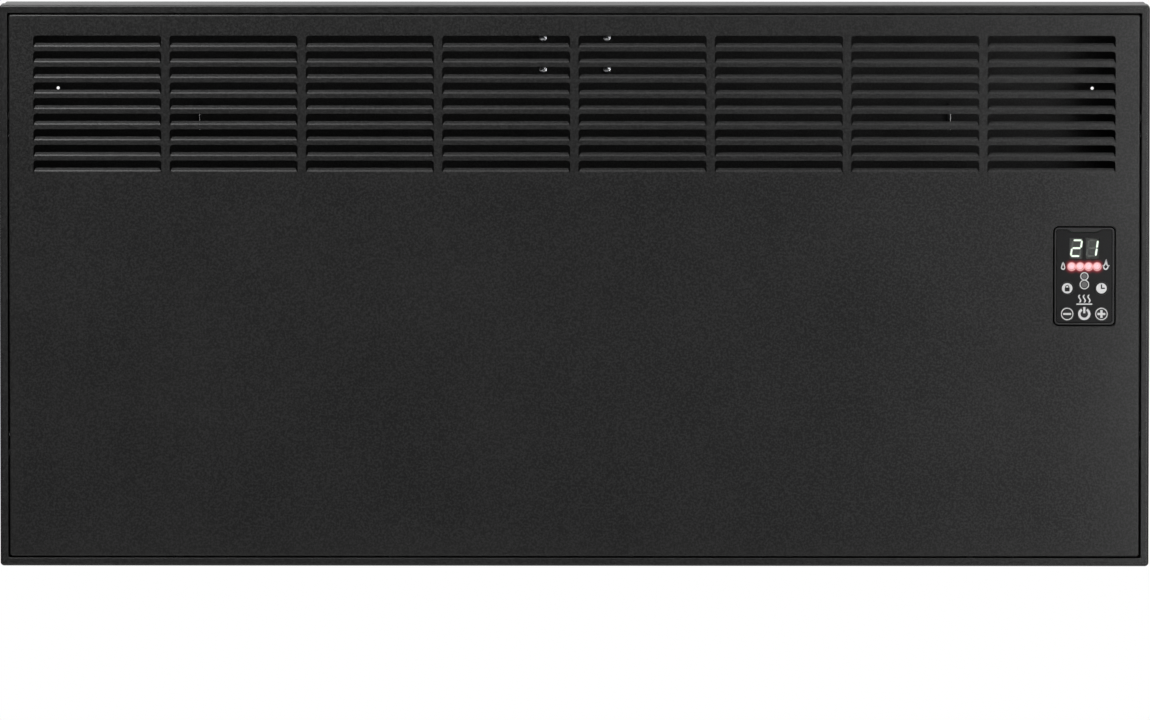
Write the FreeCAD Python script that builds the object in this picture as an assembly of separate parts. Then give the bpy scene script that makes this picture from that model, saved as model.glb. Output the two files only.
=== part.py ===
"""A wall-hung electric panel convector, as an assembly of separate parts.

Units are millimetres. +X is to the right of someone facing the heater, +Y points into the
wall and +Z is up. The origin is the centre of the wall bracket's four screw slots, on the wall.
"""

import FreeCAD, Part

import math
import os

# ---------------------------------------------------------------- driving dimensions
body_width = 920.0
body_height = 450.0
body_depth = 80.0
wall_gap = 18.0  # clear space between the wall and the back of the case
hang_drop = 130.0  # the heater's middle height below the wall screws
steel = 1.0  # sheet of the casing
touch_gap = 0.3  # between sheets that slide into each other

# Front frame: a folded ring whose rim surrounds the front panel
rim_width = 6.5
rim_return = 8.0
frame_depth = 26.0
frame_corner = 3.0
frame_bend = 2.0
panel_gap = 1.3  # open line between rim and panel

# Front panel with its pressed louvres
panel_flange = 12.0
panel_corner = 2.0
panel_bend = 1.5
louvre_columns = 8
louvre_rows = 9
column_pitch = 109.0
row_pitch = 12.5
louvre_length = 102.4
louvre_open = 6.1  # clear height of one opening
lip_rise = 3.6  # height of the inclined lip under it
lip_angle = 50.0
lip_bend = 2.5
lip_end_cut = 1.9  # how much shorter the lip's free edge is at each end
louvre_corner = 2.6
louvre_top_margin = 16.7  # panel's top edge to the first opening

# Rear case
case_depth = 64.0
case_bend = 2.5
bead_width = 10.0
bead_depth = 1.2
bead_length = 520.0
bead_drops = (-60.0, 10.0)  # height of each pressed bead from the heater's middle
corner_hole_x = 416.0
corner_hole_rise = 154.0
corner_hole_radius = 1.25

# Wall bracket and the slots that hang on it
bracket_sheet = 2.0
bracket_height = 50.0
bracket_lip = 8.0
hook_x = 301.0
hook_side_play = 0.25
hook_neck_top = 7.0  # the slot's top edge rests here
hook_neck_height = 10.0
hook_nose_rise = 5.0
hook_pass_play = 1.5  # extra height of the slot over the nose that passes it
hook_nose_depth = 4.2
wall_slot_x = 240.0
wall_slot_z = 12.0
wall_slot_radius = 2.75
wall_slot_length = 12.0

# Bottom grille and cable entry
inlet_slot_width = 4.6
inlet_slot_length = 44.0
inlet_pitch = 52.0
inlet_columns = 15
inlet_rows_y = (-34.0, -50.0, -66.0)
inlet_first_x = -412.0
grille_flange = 12.0
cable_x = 412.0
cable_y = -45.0
cable_radius = 3.7
grommet_hole_radius = 6.5

# Heating element
element_length = 700.0
element_x = -50.0  # its middle
element_y = -58.0
element_drop = 128.0  # below the heater's middle
hub_radius = 9.0
core_radius = 5.0
core_clearance = 0.05
arm_reach = 34.0
arm_sheet = 2.2
arm_angle = 32.0  # from vertical
rib_reach = 3.0
rib_sheet = 1.2
rib_places = (15.0, 21.0, 27.0)
core_overhang = 22.0
tab_reach = 14.0  # core's end to the end of its flat tab
bush_radius = 8.0
bush_clearance = 0.1
bracket_plate = 1.2

# Control unit
control_x = 408.0
control_rise = 8.0  # above the heater's middle
control_width = 50.0
control_height = 80.0
control_corner = 4.5
control_gap = 0.2
bezel_groove = 1.2
bezel_ridge = 1.3
bezel_depth = 8.0
fascia_sheet = 2.0
ledge_width = 1.2
key_radius = 5.5
key_clearance = 0.15
wing_overlap = 1.0
wing_gap = 0.7
key_low_row = -30.3
key_high_row = -9.7
stem_radius = 1.75
display_width = 25.0
display_height = 19.0
display_rise = 22.3
digit_pitch = 12.7
digit_height = 14.2
digit_width = 7.2
segment_width = 1.5
digit_slant = 8.0
led_pitch = 6.8
led_rise = 7.7
led_radius = 2.5
mode_led_rises = (-0.1, -6.6)
mode_led_radius = 1.5
board_sheet = 1.6
housing_wall = 1.8
housing_back = 64.2  # distance of the housing's rear face from the wall

# ---------------------------------------------------------------- derived places
hook_slot_width = bracket_sheet + 2 * hook_side_play
hook_slot_height = hook_neck_height + hook_nose_rise + hook_pass_play
wing_reach = key_radius + wing_overlap
key_column = 2 * wing_reach + wing_gap
y_back = -wall_gap  # outer face of the case's back
y_inside = y_back - steel  # inner face of the case's back
y_front = y_back - body_depth  # front face of rim and panel
y_panel = y_front + steel  # inner face of the front panel
z_mid = -hang_drop
z_top = z_mid + body_height / 2
z_bottom = z_mid - body_height / 2
panel_edge = rim_width + panel_gap  # from the outside of the body to the panel
panel_half = body_width / 2 - panel_edge
panel_top = z_top - panel_edge
panel_bottom = z_bottom + panel_edge
nest = steel + touch_gap  # how far the case sits inside the frame's outline
case_half = body_width / 2 - nest
case_top = z_top - nest
case_bottom = z_bottom + nest
y_case_front = y_back - case_depth
y_frame_back = y_front + frame_depth
lip_height = louvre_open + lip_rise
element_z = z_mid - element_drop
element_left = element_x - element_length / 2
element_right = element_x + element_length / 2
control_z = z_mid + control_rise
y_bezel_back = y_front + bezel_depth
y_fascia = y_front + 0.1
y_fascia_back = y_fascia + fascia_sheet
partition_x = 352.0


# ---------------------------------------------------------------- small tools
def vec(x, y, z):
    return FreeCAD.Vector(x, y, z)


def block(x0, x1, y0, y1, z0, z1):
    """A plain box between two corners."""
    return Part.makeBox(x1 - x0, y1 - y0, z1 - z0, vec(x0, y0, z0))


def rod(radius, start, end):
    """A round bar from one point to another."""
    run = end - start
    return Part.makeCylinder(radius, run.Length, start, run)


def runs_along(edge, axis):
    ends = [v.Point for v in edge.Vertexes]
    if len(ends) < 2 or not isinstance(edge.Curve, Part.Line):
        return False
    run = ends[1] - ends[0]
    others = [abs(getattr(run, a)) for a in "xyz" if a != axis]
    return max(others) < 1e-6


def edges_on(shape, axis=None, **planes):
    """Straight edges that run along an axis and lie on every plane named, such as y=-98."""
    found = []
    for edge in shape.Edges:
        ends = [v.Point for v in edge.Vertexes]
        on_planes = all(abs(getattr(p, a) - at) < 1e-6 for a, at in planes.items() for p in ends)
        if on_planes and (axis is None or runs_along(edge, axis)):
            found.append(edge)
    return found


def rounded_plate(cx, cz, width, height, radius, y0, y1):
    """A slab in the XZ plane with round corners."""
    slab = block(cx - width / 2, cx + width / 2, y0, y1, cz - height / 2, cz + height / 2)
    return slab.makeFillet(radius, edges_on(slab, "y")) if radius > 0 else slab


def slot_x(cx, cz, length, radius, y0, y1):
    """A round-ended slot along X, cut through in Y."""
    return rounded_plate(cx, cz, length, 2 * radius, radius * 0.999, y0, y1)


def prism(points, x0, x1):
    """A solid from an outline of (y, z) points, extruded along X."""
    corners = [vec(x0, y, z) for y, z in points]
    wire = Part.makePolygon(corners + corners[:1])
    return Part.Face(wire).extrude(vec(x1 - x0, 0, 0))


def facing(shape, at, direction):
    """A shape made about +Z at the origin, turned to a direction and put in place."""
    placed = shape.copy()
    turn = FreeCAD.Rotation(vec(0, 0, 1), direction)
    placed.Placement = FreeCAD.Placement(at, turn)
    return placed


def cross_recess(top, depth, reach, width):
    """The cutter for a cross recess in a screw head whose top is at height top."""
    bars = [
        block(-reach, reach, -width / 2, width / 2, top - depth, top + 1),
        block(-width / 2, width / 2, -reach, reach, top - depth, top + 1),
    ]
    return bars[0].fuse(bars[1])


def pan_screw(shank_radius, shank_length, head_radius, head_height):
    """A pan-head screw: the head's underside is on Z = 0 and the shank points down."""
    head = Part.makeCylinder(head_radius, head_height)
    head = head.makeFillet(
        head_height * 0.55, [e for e in head.Edges if e.BoundBox.ZMin > head_height - 1e-6]
    )
    shank = Part.makeCylinder(shank_radius, shank_length, vec(0, 0, -shank_length))
    recess = cross_recess(head_height, head_height * 0.6, head_radius * 0.55, head_radius * 0.22)
    return head.fuse(shank).removeSplitter().cut(recess)


def countersunk_screw(shank_radius, shank_length, head_radius, head_height):
    """A flush screw: the head's face is on Z = 0 and the shank points down."""
    head = Part.makeCone(shank_radius, head_radius, head_height, vec(0, 0, -head_height))
    shank = Part.makeCylinder(shank_radius, shank_length - head_height, vec(0, 0, -shank_length))
    recess = cross_recess(0, head_height * 0.6, head_radius * 0.55, head_radius * 0.2)
    return head.fuse(shank).removeSplitter().cut(recess)


def countersunk_hole(shank_radius, head_radius, head_height, clearance, depth):
    cone = Part.makeCone(
        shank_radius + clearance, head_radius + clearance, head_height, vec(0, 0, -head_height)
    )
    bore = Part.makeCylinder(shank_radius + clearance, depth, vec(0, 0, -depth))
    return cone.fuse(bore)


def group(solids):
    return Part.makeCompound(solids)


def drilled(shape, radius, places, y0, y1):
    """The shape with holes along Y at each (x, z)."""
    bores = [Part.makeCylinder(radius, y1 - y0, vec(x, y0, z), vec(0, 1, 0)) for x, z in places]
    return shape.cut(group(bores))


def rounded_run(points, radius):
    """The wire of straight runs joined by tangent arcs of one radius, or smaller in a short run."""
    edges = []
    here = points[0]
    for before, corner, after in zip(points, points[1:], points[2:]):
        into = (corner - before).normalize()
        out = (after - corner).normalize()
        turn = into.getAngle(out)
        shorter = min((corner - before).Length, (after - corner).Length)
        bend = min(radius, 0.45 * shorter / math.tan(turn / 2))
        back = bend * math.tan(turn / 2)
        start = corner - into * back
        end = corner + out * back
        towards = (out - into).normalize()
        middle = corner + towards * (bend / math.cos(turn / 2) - bend)
        edges.append(Part.LineSegment(here, start).toShape())
        edges.append(Part.Arc(start, middle, end).toShape())
        here = end
    edges.append(Part.LineSegment(here, points[-1]).toShape())
    return Part.Wire(edges)


def tube_along(points, radius, bend):
    """A round lead that follows the points with tangent arcs at the corners."""
    spine = rounded_run(points, bend)
    start = (points[1] - points[0]).normalize()
    ring = Part.Wire([Part.Circle(points[0], start, radius).toShape()])
    return spine.makePipeShell([ring], True, False)


# ---------------------------------------------------------------- fasteners
side_screw_radius = 1.9
side_head_radius = 3.7
side_head_height = 1.9
screw_clearance = 0.05
side_screw_y = y_frame_back - 5.0
side_screw_rises = (-120.0, 120.0)
grille_screw_x = (-440.0, -150.0, 150.0, 440.0)
pan_radius = 3.5
pan_height = 2.2
small_shank = 1.9
stiffener_screw_places = [(x, z_mid + rise) for x in (-25.7, 25.7) for rise in (195.1, 169.5)]


def side_screw_spots():
    """Where each side screw's face lies, and which way it faces."""
    return [
        (vec(side * body_width / 2, side_screw_y, z_mid + rise), vec(side, 0, 0))
        for side in (-1, 1)
        for rise in side_screw_rises
    ]


def grille_screw_spots():
    return [(vec(x, side_screw_y, z_bottom), vec(0, 0, -1)) for x in grille_screw_x]


def frame_screw_cutters():
    cutter = countersunk_hole(
        side_screw_radius, side_head_radius, side_head_height, screw_clearance, 12.0
    )
    return group([facing(cutter, at, way) for at, way in side_screw_spots() + grille_screw_spots()])


def case_screws():
    screw = countersunk_screw(side_screw_radius, 8.0, side_head_radius, side_head_height)
    return group([facing(screw, at, way) for at, way in side_screw_spots() + grille_screw_spots()])


# ---------------------------------------------------------------- wall bracket
def wall_bracket():
    """A folded rail on the wall with an upward hook at each end."""
    half = bracket_height / 2
    outer = hook_x + bracket_sheet / 2
    web = block(-outer, outer, -bracket_sheet, 0, -half, half)
    lip_half = hook_x - 16.0
    lips = [
        block(-lip_half, lip_half, -bracket_lip, 0, half - bracket_sheet, half),
        block(-lip_half, lip_half, -bracket_lip, 0, -half, -half + bracket_sheet),
    ]
    y_seat = y_back + touch_gap
    y_notch = y_inside - 0.6
    y_tip = y_notch - hook_nose_depth
    neck_bottom = hook_neck_top - hook_neck_height
    nose_top = hook_neck_top + hook_nose_rise
    lead_in = 2.0
    outline = [
        (0, -half),
        (0, half),
        (y_seat + 6.0, half),
        (y_seat, half - 6.0),
        (y_seat, hook_neck_top),
        (y_notch, hook_neck_top),
        (y_notch, nose_top),
        (y_tip + lead_in, nose_top),
        (y_tip, nose_top - lead_in),
        (y_tip, neck_bottom + lead_in),
        (y_tip + lead_in, neck_bottom),
        (y_seat, neck_bottom),
        (y_seat, -half + 6.0),
        (y_seat + 6.0, -half),
    ]
    ears = [
        prism(outline, side * hook_x - bracket_sheet / 2, side * hook_x + bracket_sheet / 2)
        for side in (-1, 1)
    ]
    rail = web.multiFuse(lips + ears).removeSplitter()
    folds = edges_on(rail, "z", x=outer, y=0) + edges_on(rail, "z", x=-outer, y=0)
    folds += edges_on(rail, "x", y=0, z=half) + edges_on(rail, "x", y=0, z=-half)
    folds = [e for e in folds if e.Length > bracket_height / 2]
    rail = rail.makeFillet(bracket_sheet * 0.9, folds)
    slots = [
        slot_x(x, z, wall_slot_length, wall_slot_radius, -bracket_sheet - 1, 1)
        for x in (-wall_slot_x, wall_slot_x)
        for z in (-wall_slot_z, wall_slot_z)
    ]
    return rail.cut(group(slots))


# ---------------------------------------------------------------- casing
def front_frame():
    """The folded ring: outer walls, a narrow rim and a return behind it."""
    half = body_width / 2
    skin = block(-half, half, y_front, y_frame_back, z_bottom, z_top)
    skin = skin.makeFillet(frame_corner, edges_on(skin, "y"))
    skin = skin.makeFillet(frame_bend, [e for e in skin.Edges if e.BoundBox.YMax < y_front + 1e-6])
    hollow = rounded_plate(
        0,
        z_mid,
        body_width - 2 * steel,
        body_height - 2 * steel,
        frame_corner - steel,
        y_panel,
        y_frame_back + 1,
    )
    hollow = hollow.makeFillet(
        frame_bend - steel, [e for e in hollow.Edges if e.BoundBox.YMax < y_panel + 1e-6]
    )
    window_width = body_width - 2 * rim_width
    window_height = body_height - 2 * rim_width
    corner = 1.2
    window = rounded_plate(0, z_mid, window_width, window_height, corner, y_front - 1, y_frame_back)
    returned = rounded_plate(
        0,
        z_mid,
        window_width + 2 * steel,
        window_height + 2 * steel,
        corner + steel,
        y_front + 0.4,
        y_front + rim_return,
    )
    ring = skin.cut(hollow).fuse(returned).cut(window).removeSplitter()
    opening = block(
        -window_width / 2 - 0.1,
        window_width / 2 + 0.1,
        y_front - 0.1,
        y_front + 0.1,
        z_mid - window_height / 2 - 0.1,
        z_mid + window_height / 2 + 0.1,
    ).BoundBox
    mouth = [e for e in ring.Edges if opening.isInside(e.BoundBox)]
    ring = ring.makeFillet(0.9, mouth)
    ring = ring.cut(frame_screw_cutters())
    return ring.cut(group([facing(rivet_bore(), at, way) for at, way in rivet_spots()]))


def lip_outline():
    """The louvre lip's section as edges, with the bend at (y_front, 0)."""
    turn = math.radians(lip_angle)
    inner_bend = lip_bend - steel

    def on_arc(radius, angle):
        return vec(0, y_front + lip_bend - radius * math.cos(angle), radius * math.sin(angle))

    outer = [on_arc(lip_bend, a) for a in (0, turn / 2, turn)]
    inner = [on_arc(inner_bend, a) for a in (turn, turn / 2, 0)]
    straight = (lip_rise - outer[2].z) / math.cos(turn)
    along = vec(0, math.sin(turn), math.cos(turn)) * straight
    tip_outer = outer[2] + along
    tip_inner = inner[0] + along
    return outer, tip_outer, tip_inner, inner


def louvre_lip(length):
    """One inclined lip, lanced free at both ends and held along its bend."""
    outer, tip_outer, tip_inner, inner = lip_outline()
    section = Part.Wire(
        [
            Part.Arc(*outer).toShape(),
            Part.LineSegment(outer[2], tip_outer).toShape(),
            Part.LineSegment(tip_outer, tip_inner).toShape(),
            Part.LineSegment(tip_inner, inner[0]).toShape(),
            Part.Arc(*inner).toShape(),
            Part.LineSegment(inner[2], outer[0]).toShape(),
        ]
    )
    lip = Part.Face(section).extrude(vec(length, 0, 0))
    sides = [
        vec(0, y_front - 1, 0),
        vec(length, y_front - 1, 0),
        vec(length - lip_end_cut, y_front - 1, tip_outer.z),
        vec(lip_end_cut, y_front - 1, tip_outer.z),
        vec(0, y_front - 1, 0),
    ]
    blank = Part.Face(Part.makePolygon(sides)).extrude(vec(0, tip_inner.y - y_front + 2, 0))
    return lip.common(blank)


def louvre_spots():
    """The left end and the bend height of each louvre."""
    first_x = -(louvre_columns * column_pitch - (column_pitch - louvre_length)) / 2
    first_z = panel_top - louvre_top_margin - lip_height
    return [
        (first_x + column * column_pitch, first_z - row * row_pitch)
        for column in range(louvre_columns)
        for row in range(louvre_rows)
    ]


def front_panel():
    """The flanged sheet with eight columns of pressed louvres and the control cut-out."""
    width = 2 * panel_half
    height = panel_top - panel_bottom
    skin = rounded_plate(0, z_mid, width, height, panel_corner, y_front, y_front + panel_flange)
    skin = skin.makeFillet(panel_bend, [e for e in skin.Edges if e.BoundBox.YMax < y_front + 1e-6])
    hollow = rounded_plate(
        0,
        z_mid,
        width - 2 * steel,
        height - 2 * steel,
        panel_corner - steel,
        y_panel,
        y_front + panel_flange + 1,
    )
    hollow = hollow.makeFillet(
        panel_bend - steel, [e for e in hollow.Edges if e.BoundBox.YMax < y_panel + 1e-6]
    )
    sheet = skin.cut(hollow)
    window = block(0, louvre_length, y_front - 1, y_panel + 1, 0, lip_height)
    window = window.makeFillet(louvre_corner, edges_on(window, "y", z=lip_height))
    lip = louvre_lip(louvre_length)
    windows, lips = [], []
    for x, z in louvre_spots():
        for made, kept in ((window, windows), (lip, lips)):
            copy = made.copy()
            copy.translate(vec(x, 0, z))
            kept.append(copy)
    sheet = sheet.cut(group(windows))
    sheet = sheet.fuse(lips)
    opening = rounded_plate(
        control_x,
        control_z,
        control_width + 2 * control_gap,
        control_height + 2 * control_gap,
        control_corner + control_gap,
        y_front - 1,
        y_panel + 1,
    )
    sheet = sheet.cut(opening)
    return sheet.cut(group([facing(rivet_bore(), at, way) for at, way in rivet_spots()]))


rivet_radius = 1.6
rivet_head_radius = 3.0
rivet_head_height = 0.8
washer_radius = 4.0
rivet_y = y_front + 5.0


def rivet_spots():
    """Points on the rim's inner face, each with the way from the rim to the panel."""
    window_half = body_width / 2 - rim_width
    spots = []
    for x in (-panel_half * 0.7, panel_half * 0.7):
        spots.append((vec(x, rivet_y, z_top - rim_width), vec(0, 0, -1)))
        spots.append((vec(x, rivet_y, z_bottom + rim_width), vec(0, 0, 1)))
    for rise in (-body_height * 0.3, body_height * 0.3):
        spots.append((vec(-window_half, rivet_y, z_mid + rise), vec(1, 0, 0)))
        spots.append((vec(window_half, rivet_y, z_mid + rise), vec(-1, 0, 0)))
    return spots


def rivet_bore():
    reach = steel + 1.0
    return Part.makeCylinder(rivet_radius + screw_clearance, 2 * reach + panel_gap, vec(0, 0, -reach))


def panel_washers():
    """Fibre washers that hold the panel clear of the rim."""
    ring = Part.makeCylinder(washer_radius, panel_gap).cut(
        Part.makeCylinder(rivet_radius + screw_clearance, panel_gap)
    )
    return group([facing(ring, at, way) for at, way in rivet_spots()])


def panel_rivets():
    grip = 2 * steel + panel_gap
    shank = Part.makeCylinder(rivet_radius, grip, vec(0, 0, -steel))
    heads = [
        Part.makeCylinder(rivet_head_radius, rivet_head_height, vec(0, 0, -steel - rivet_head_height)),
        Part.makeCylinder(rivet_head_radius, rivet_head_height, vec(0, 0, steel + panel_gap)),
    ]
    rivet = shank.multiFuse(heads).removeSplitter()
    return group([facing(rivet, at, way) for at, way in rivet_spots()])


def hook_slot(side):
    return block(
        side * hook_x - hook_slot_width / 2,
        side * hook_x + hook_slot_width / 2,
        y_inside - 3,
        y_back + 1,
        hook_neck_top - hook_slot_height,
        hook_neck_top,
    )


def rear_case():
    """The tray: back, top and sides, open below for the grille and in front for the frame."""
    skin = block(-case_half, case_half, y_case_front, y_back, case_bottom, case_top)
    folds = edges_on(skin, "y", z=case_top) + edges_on(skin, "x", y=y_back, z=case_top)
    folds += edges_on(skin, "z", y=y_back)
    skin = skin.makeFillet(case_bend, folds)
    skin = skin.makeFillet(frame_corner - nest, edges_on(skin, "y", z=case_bottom))
    inside = case_half - steel
    hollow = block(-inside, inside, y_case_front - 1, y_inside, case_bottom - 1, case_top - steel)
    folds = edges_on(hollow, "y", z=case_top - steel) + edges_on(
        hollow, "x", y=y_inside, z=case_top - steel
    )
    folds += edges_on(hollow, "z", y=y_inside)
    hollow = hollow.makeFillet(case_bend - steel, folds)
    case = skin.cut(hollow)
    for drop in bead_drops:
        raised = rounded_plate(
            0, z_mid + drop, bead_length, bead_width, bead_width * 0.49, y_inside - bead_depth, y_back
        )
        groove = rounded_plate(
            0,
            z_mid + drop,
            bead_length - 2 * steel,
            bead_width - 2 * steel,
            (bead_width - 2 * steel) * 0.49,
            y_back - bead_depth,
            y_back + 1,
        )
        case = case.fuse(raised).cut(groove)
    case = case.cut(group([hook_slot(-1), hook_slot(1)]))
    corner_holes = [(side * corner_hole_x, z_mid + corner_hole_rise) for side in (-1, 1)]
    case = drilled(case, corner_hole_radius, corner_holes, y_inside - 2, y_back + 1)
    case = drilled(case, spacer_pin_radius + screw_clearance, spacer_places(), y_inside - 2, y_back + 1)
    case = drilled(case, small_shank + screw_clearance, back_screw_places(), y_inside - 2, y_back + 1)
    case = drilled(case, earth_radius + screw_clearance, [earth_place], y_inside - 2, y_back + 1)
    return case.cut(frame_screw_cutters()).removeSplitter()


def bottom_grille():
    """The air inlet: a slotted plate with upturned ends, and the hole for the cable grommet."""
    half = case_half - steel - 0.2
    low = case_bottom
    y_rear = y_inside - 0.2
    y_lead = y_front + rim_return + 0.2
    plate = block(-half, half, y_lead, y_rear, low, low + steel)
    plate = plate.makeFillet(case_bend, edges_on(plate, "z", y=y_rear))
    ends = [
        block(
            side * half - (steel if side > 0 else 0),
            side * half + (0 if side > 0 else steel),
            y_lead + 4,
            y_rear - 4,
            low,
            low + grille_flange,
        )
        for side in (-1, 1)
    ]
    plate = plate.multiFuse(ends).removeSplitter()
    cutters = []
    for y in inlet_rows_y:
        for column in range(inlet_columns):
            x = inlet_first_x + column * inlet_pitch
            slot = block(
                x,
                x + inlet_slot_length,
                y - inlet_slot_width / 2,
                y + inlet_slot_width / 2,
                low - 1,
                low + 2 * steel,
            )
            cutters.append(slot.makeFillet(inlet_slot_width * 0.49, edges_on(slot, "z")))
    cutters.append(
        Part.makeCylinder(grommet_hole_radius, 4 * steel, vec(cable_x, cable_y, low - steel))
    )
    return plate.cut(group(cutters)).cut(frame_screw_cutters())


def cable_grommet():
    """The rubber bush round the mains cable's hole."""
    low = case_bottom
    collar = 1.2
    above = 3.0
    sleeve = 7.0
    at = vec(cable_x, cable_y, low - collar)
    neck = Part.makeCylinder(grommet_hole_radius - screw_clearance, collar + steel + above, at)
    under = Part.makeCylinder(grommet_hole_radius + 3.0, collar - screw_clearance, at)
    over = Part.makeCone(
        grommet_hole_radius + 2.0,
        grommet_hole_radius,
        above,
        vec(cable_x, cable_y, low + steel + screw_clearance),
    )
    nose = Part.makeCylinder(grommet_hole_radius - 0.8, collar + steel + sleeve, at)
    body = neck.multiFuse([under, over, nose]).removeSplitter()
    return body.cut(Part.makeCylinder(cable_radius, 40.0, vec(cable_x, cable_y, low - 10.0)))


# ---------------------------------------------------------------- back of the case
spacer_x = 380.0
spacer_drop = -190.0
spacer_pin_radius = 4.0
earth_radius = 2.0
earth_place = (440.0, z_mid - 110.0)
lug_sheet = 0.8
lug_reach = 9.0  # stud to the lug's barrel
lug_barrel = 7.0
lug_y = y_inside - 2.8  # the barrel's axis
stiffener_sheet = 1.2


def spacer_places():
    return [(side * spacer_x, z_mid + spacer_drop) for side in (-1, 1)]


def stiffener_plate():
    plate = rounded_plate(0, z_mid + 181.2, 90.0, 46.0, 4.0, y_inside - stiffener_sheet, y_inside)
    return drilled(
        plate, small_shank + screw_clearance, stiffener_screw_places, y_inside - 3, y_inside + 1
    )


def stiffener_screws():
    screw = pan_screw(small_shank, 6.0, pan_radius, pan_height)
    y_head = y_inside - stiffener_sheet
    return group([facing(screw, vec(x, y_head, z), vec(0, -1, 0)) for x, z in stiffener_screw_places])


def wall_spacer(side):
    """A moulded foot that keeps the lower edge parallel to the wall."""
    x, z = side * spacer_x, z_mid + spacer_drop
    body = Part.makeCone(15.0, 12.0, wall_gap, vec(x, 0, z), vec(0, -1, 0))
    hollow = Part.makeCone(12.0, 9.5, wall_gap - 4.0, vec(x, 0, z), vec(0, -1, 0))
    pin = Part.makeCylinder(spacer_pin_radius, steel + 5.0, vec(x, y_back, z), vec(0, -1, 0))
    catch = Part.makeCone(
        spacer_pin_radius + 0.7, spacer_pin_radius - 1.0, 4.0, vec(x, y_inside - 0.1, z), vec(0, -1, 0)
    )
    ribs = [
        block(x - 11.0, x + 11.0, -wall_gap + 2.0, -1.0, z - 0.8, z + 0.8),
        block(x - 0.8, x + 0.8, -wall_gap + 2.0, -1.0, z - 11.0, z + 11.0),
    ]
    return body.cut(hollow).multiFuse(ribs + [pin, catch]).removeSplitter()


# ---------------------------------------------------------------- heating element
bracket_foot = 16.0
bracket_offset = 8.0  # element's end to its bracket plate
element_bracket_half = 34.0


def element_profile():
    """The X section: a bored hub and four ribbed arms."""
    parts = []
    for angle in (arm_angle, -arm_angle, 180 - arm_angle, 180 + arm_angle):
        arm = block(element_left, element_right, -arm_sheet / 2, arm_sheet / 2, 0, arm_reach)
        ribs = [
            block(
                element_left,
                element_right,
                -rib_reach - arm_sheet / 2,
                rib_reach + arm_sheet / 2,
                z - rib_sheet / 2,
                z + rib_sheet / 2,
            )
            for z in rib_places
        ]
        whole = arm.multiFuse(ribs)
        whole.rotate(vec(0, 0, 0), vec(1, 0, 0), angle)
        parts.append(whole)
    hub = rod(hub_radius, vec(element_left, 0, 0), vec(element_right, 0, 0))
    return hub.multiFuse(parts)


def heating_element():
    body = element_profile()
    bore = rod(core_radius + core_clearance, vec(element_left - 1, 0, 0), vec(element_right + 1, 0, 0))
    body = body.cut(bore).removeSplitter()
    body.translate(vec(0, element_y, element_z))
    return body


def element_core():
    return rod(
        core_radius,
        vec(element_left - core_overhang, element_y, element_z),
        vec(element_right + core_overhang, element_y, element_z),
    )


def element_terminals():
    """A pin and a flat tab at each end of the core."""
    tabs = []
    for side in (-1, 1):
        x = element_x + side * (element_length / 2 + core_overhang)
        pin = rod(1.5, vec(x, element_y, element_z), vec(x + side * 6.0, element_y, element_z))
        x0, x1 = sorted((x + side * 4.0, x + side * tab_reach))
        tab = block(x0, x1, element_y - 3.15, element_y + 3.15, element_z - 0.4, element_z + 0.4)
        tabs.append(pin.fuse(tab).removeSplitter())
    return group(tabs)


def bracket_x(side):
    return element_x + side * (element_length / 2 + bracket_offset)


def element_bush(side):
    """A flanged silicone bush between core and bracket."""
    x = bracket_x(side)
    sleeve = rod(bush_radius, vec(x - 5.0, element_y, element_z), vec(x + 5.0, element_y, element_z))
    flange_side = x - side * bracket_plate / 2
    far = flange_side - side * 2.0
    flange = rod(
        bush_radius + 2.5, vec(far, element_y, element_z), vec(flange_side, element_y, element_z)
    )
    bore = rod(
        core_radius + screw_clearance,
        vec(x - 9.0, element_y, element_z),
        vec(x + 9.0, element_y, element_z),
    )
    return sleeve.fuse(flange).removeSplitter().cut(bore)


def element_foot_places(side):
    x = bracket_x(side) + side * bracket_foot / 2
    return [(x, element_z + rise) for rise in (-24.0, 24.0)]


def element_bracket(side):
    """A folded plate on the back of the case that carries one end of the element."""
    x = bracket_x(side)
    y_lead = y_case_front + 2.0
    plate = block(
        x - bracket_plate / 2,
        x + bracket_plate / 2,
        y_lead,
        y_inside,
        element_z - element_bracket_half,
        element_z + element_bracket_half,
    )
    x0, x1 = sorted((x - side * bracket_plate / 2, x + side * bracket_foot))
    foot = block(
        x0,
        x1,
        y_inside - bracket_plate,
        y_inside,
        element_z - element_bracket_half,
        element_z + element_bracket_half,
    )
    hole = rod(
        bush_radius + bush_clearance, vec(x - 3, element_y, element_z), vec(x + 3, element_y, element_z)
    )
    folded = plate.fuse(foot).removeSplitter().cut(hole)
    folded = folded.makeFillet(5.0, edges_on(folded, "x", y=y_lead))
    return drilled(
        folded, small_shank + screw_clearance, element_foot_places(side), y_inside - 3, y_inside + 1
    )


# ---------------------------------------------------------------- shields and baffles
shield_sheet = 0.6
shield_standoff = 12.0
shield_left = -398.0
shield_right = 296.0
shield_low = z_mid - 200.0
shield_high = z_mid + 40.0
y_shield = y_inside - shield_standoff
baffle_standoff = 9.0
baffle_left = -430.0
baffle_right = 335.0
baffle_low = z_mid - 190.0
baffle_high = z_mid + 80.0


def shield_screw_places():
    xs = (shield_left + 40.0, (shield_left + shield_right) / 2, shield_right - 40.0)
    return [(x, z) for x in xs for z in (shield_low + 20.0, shield_high - 20.0)]


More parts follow.
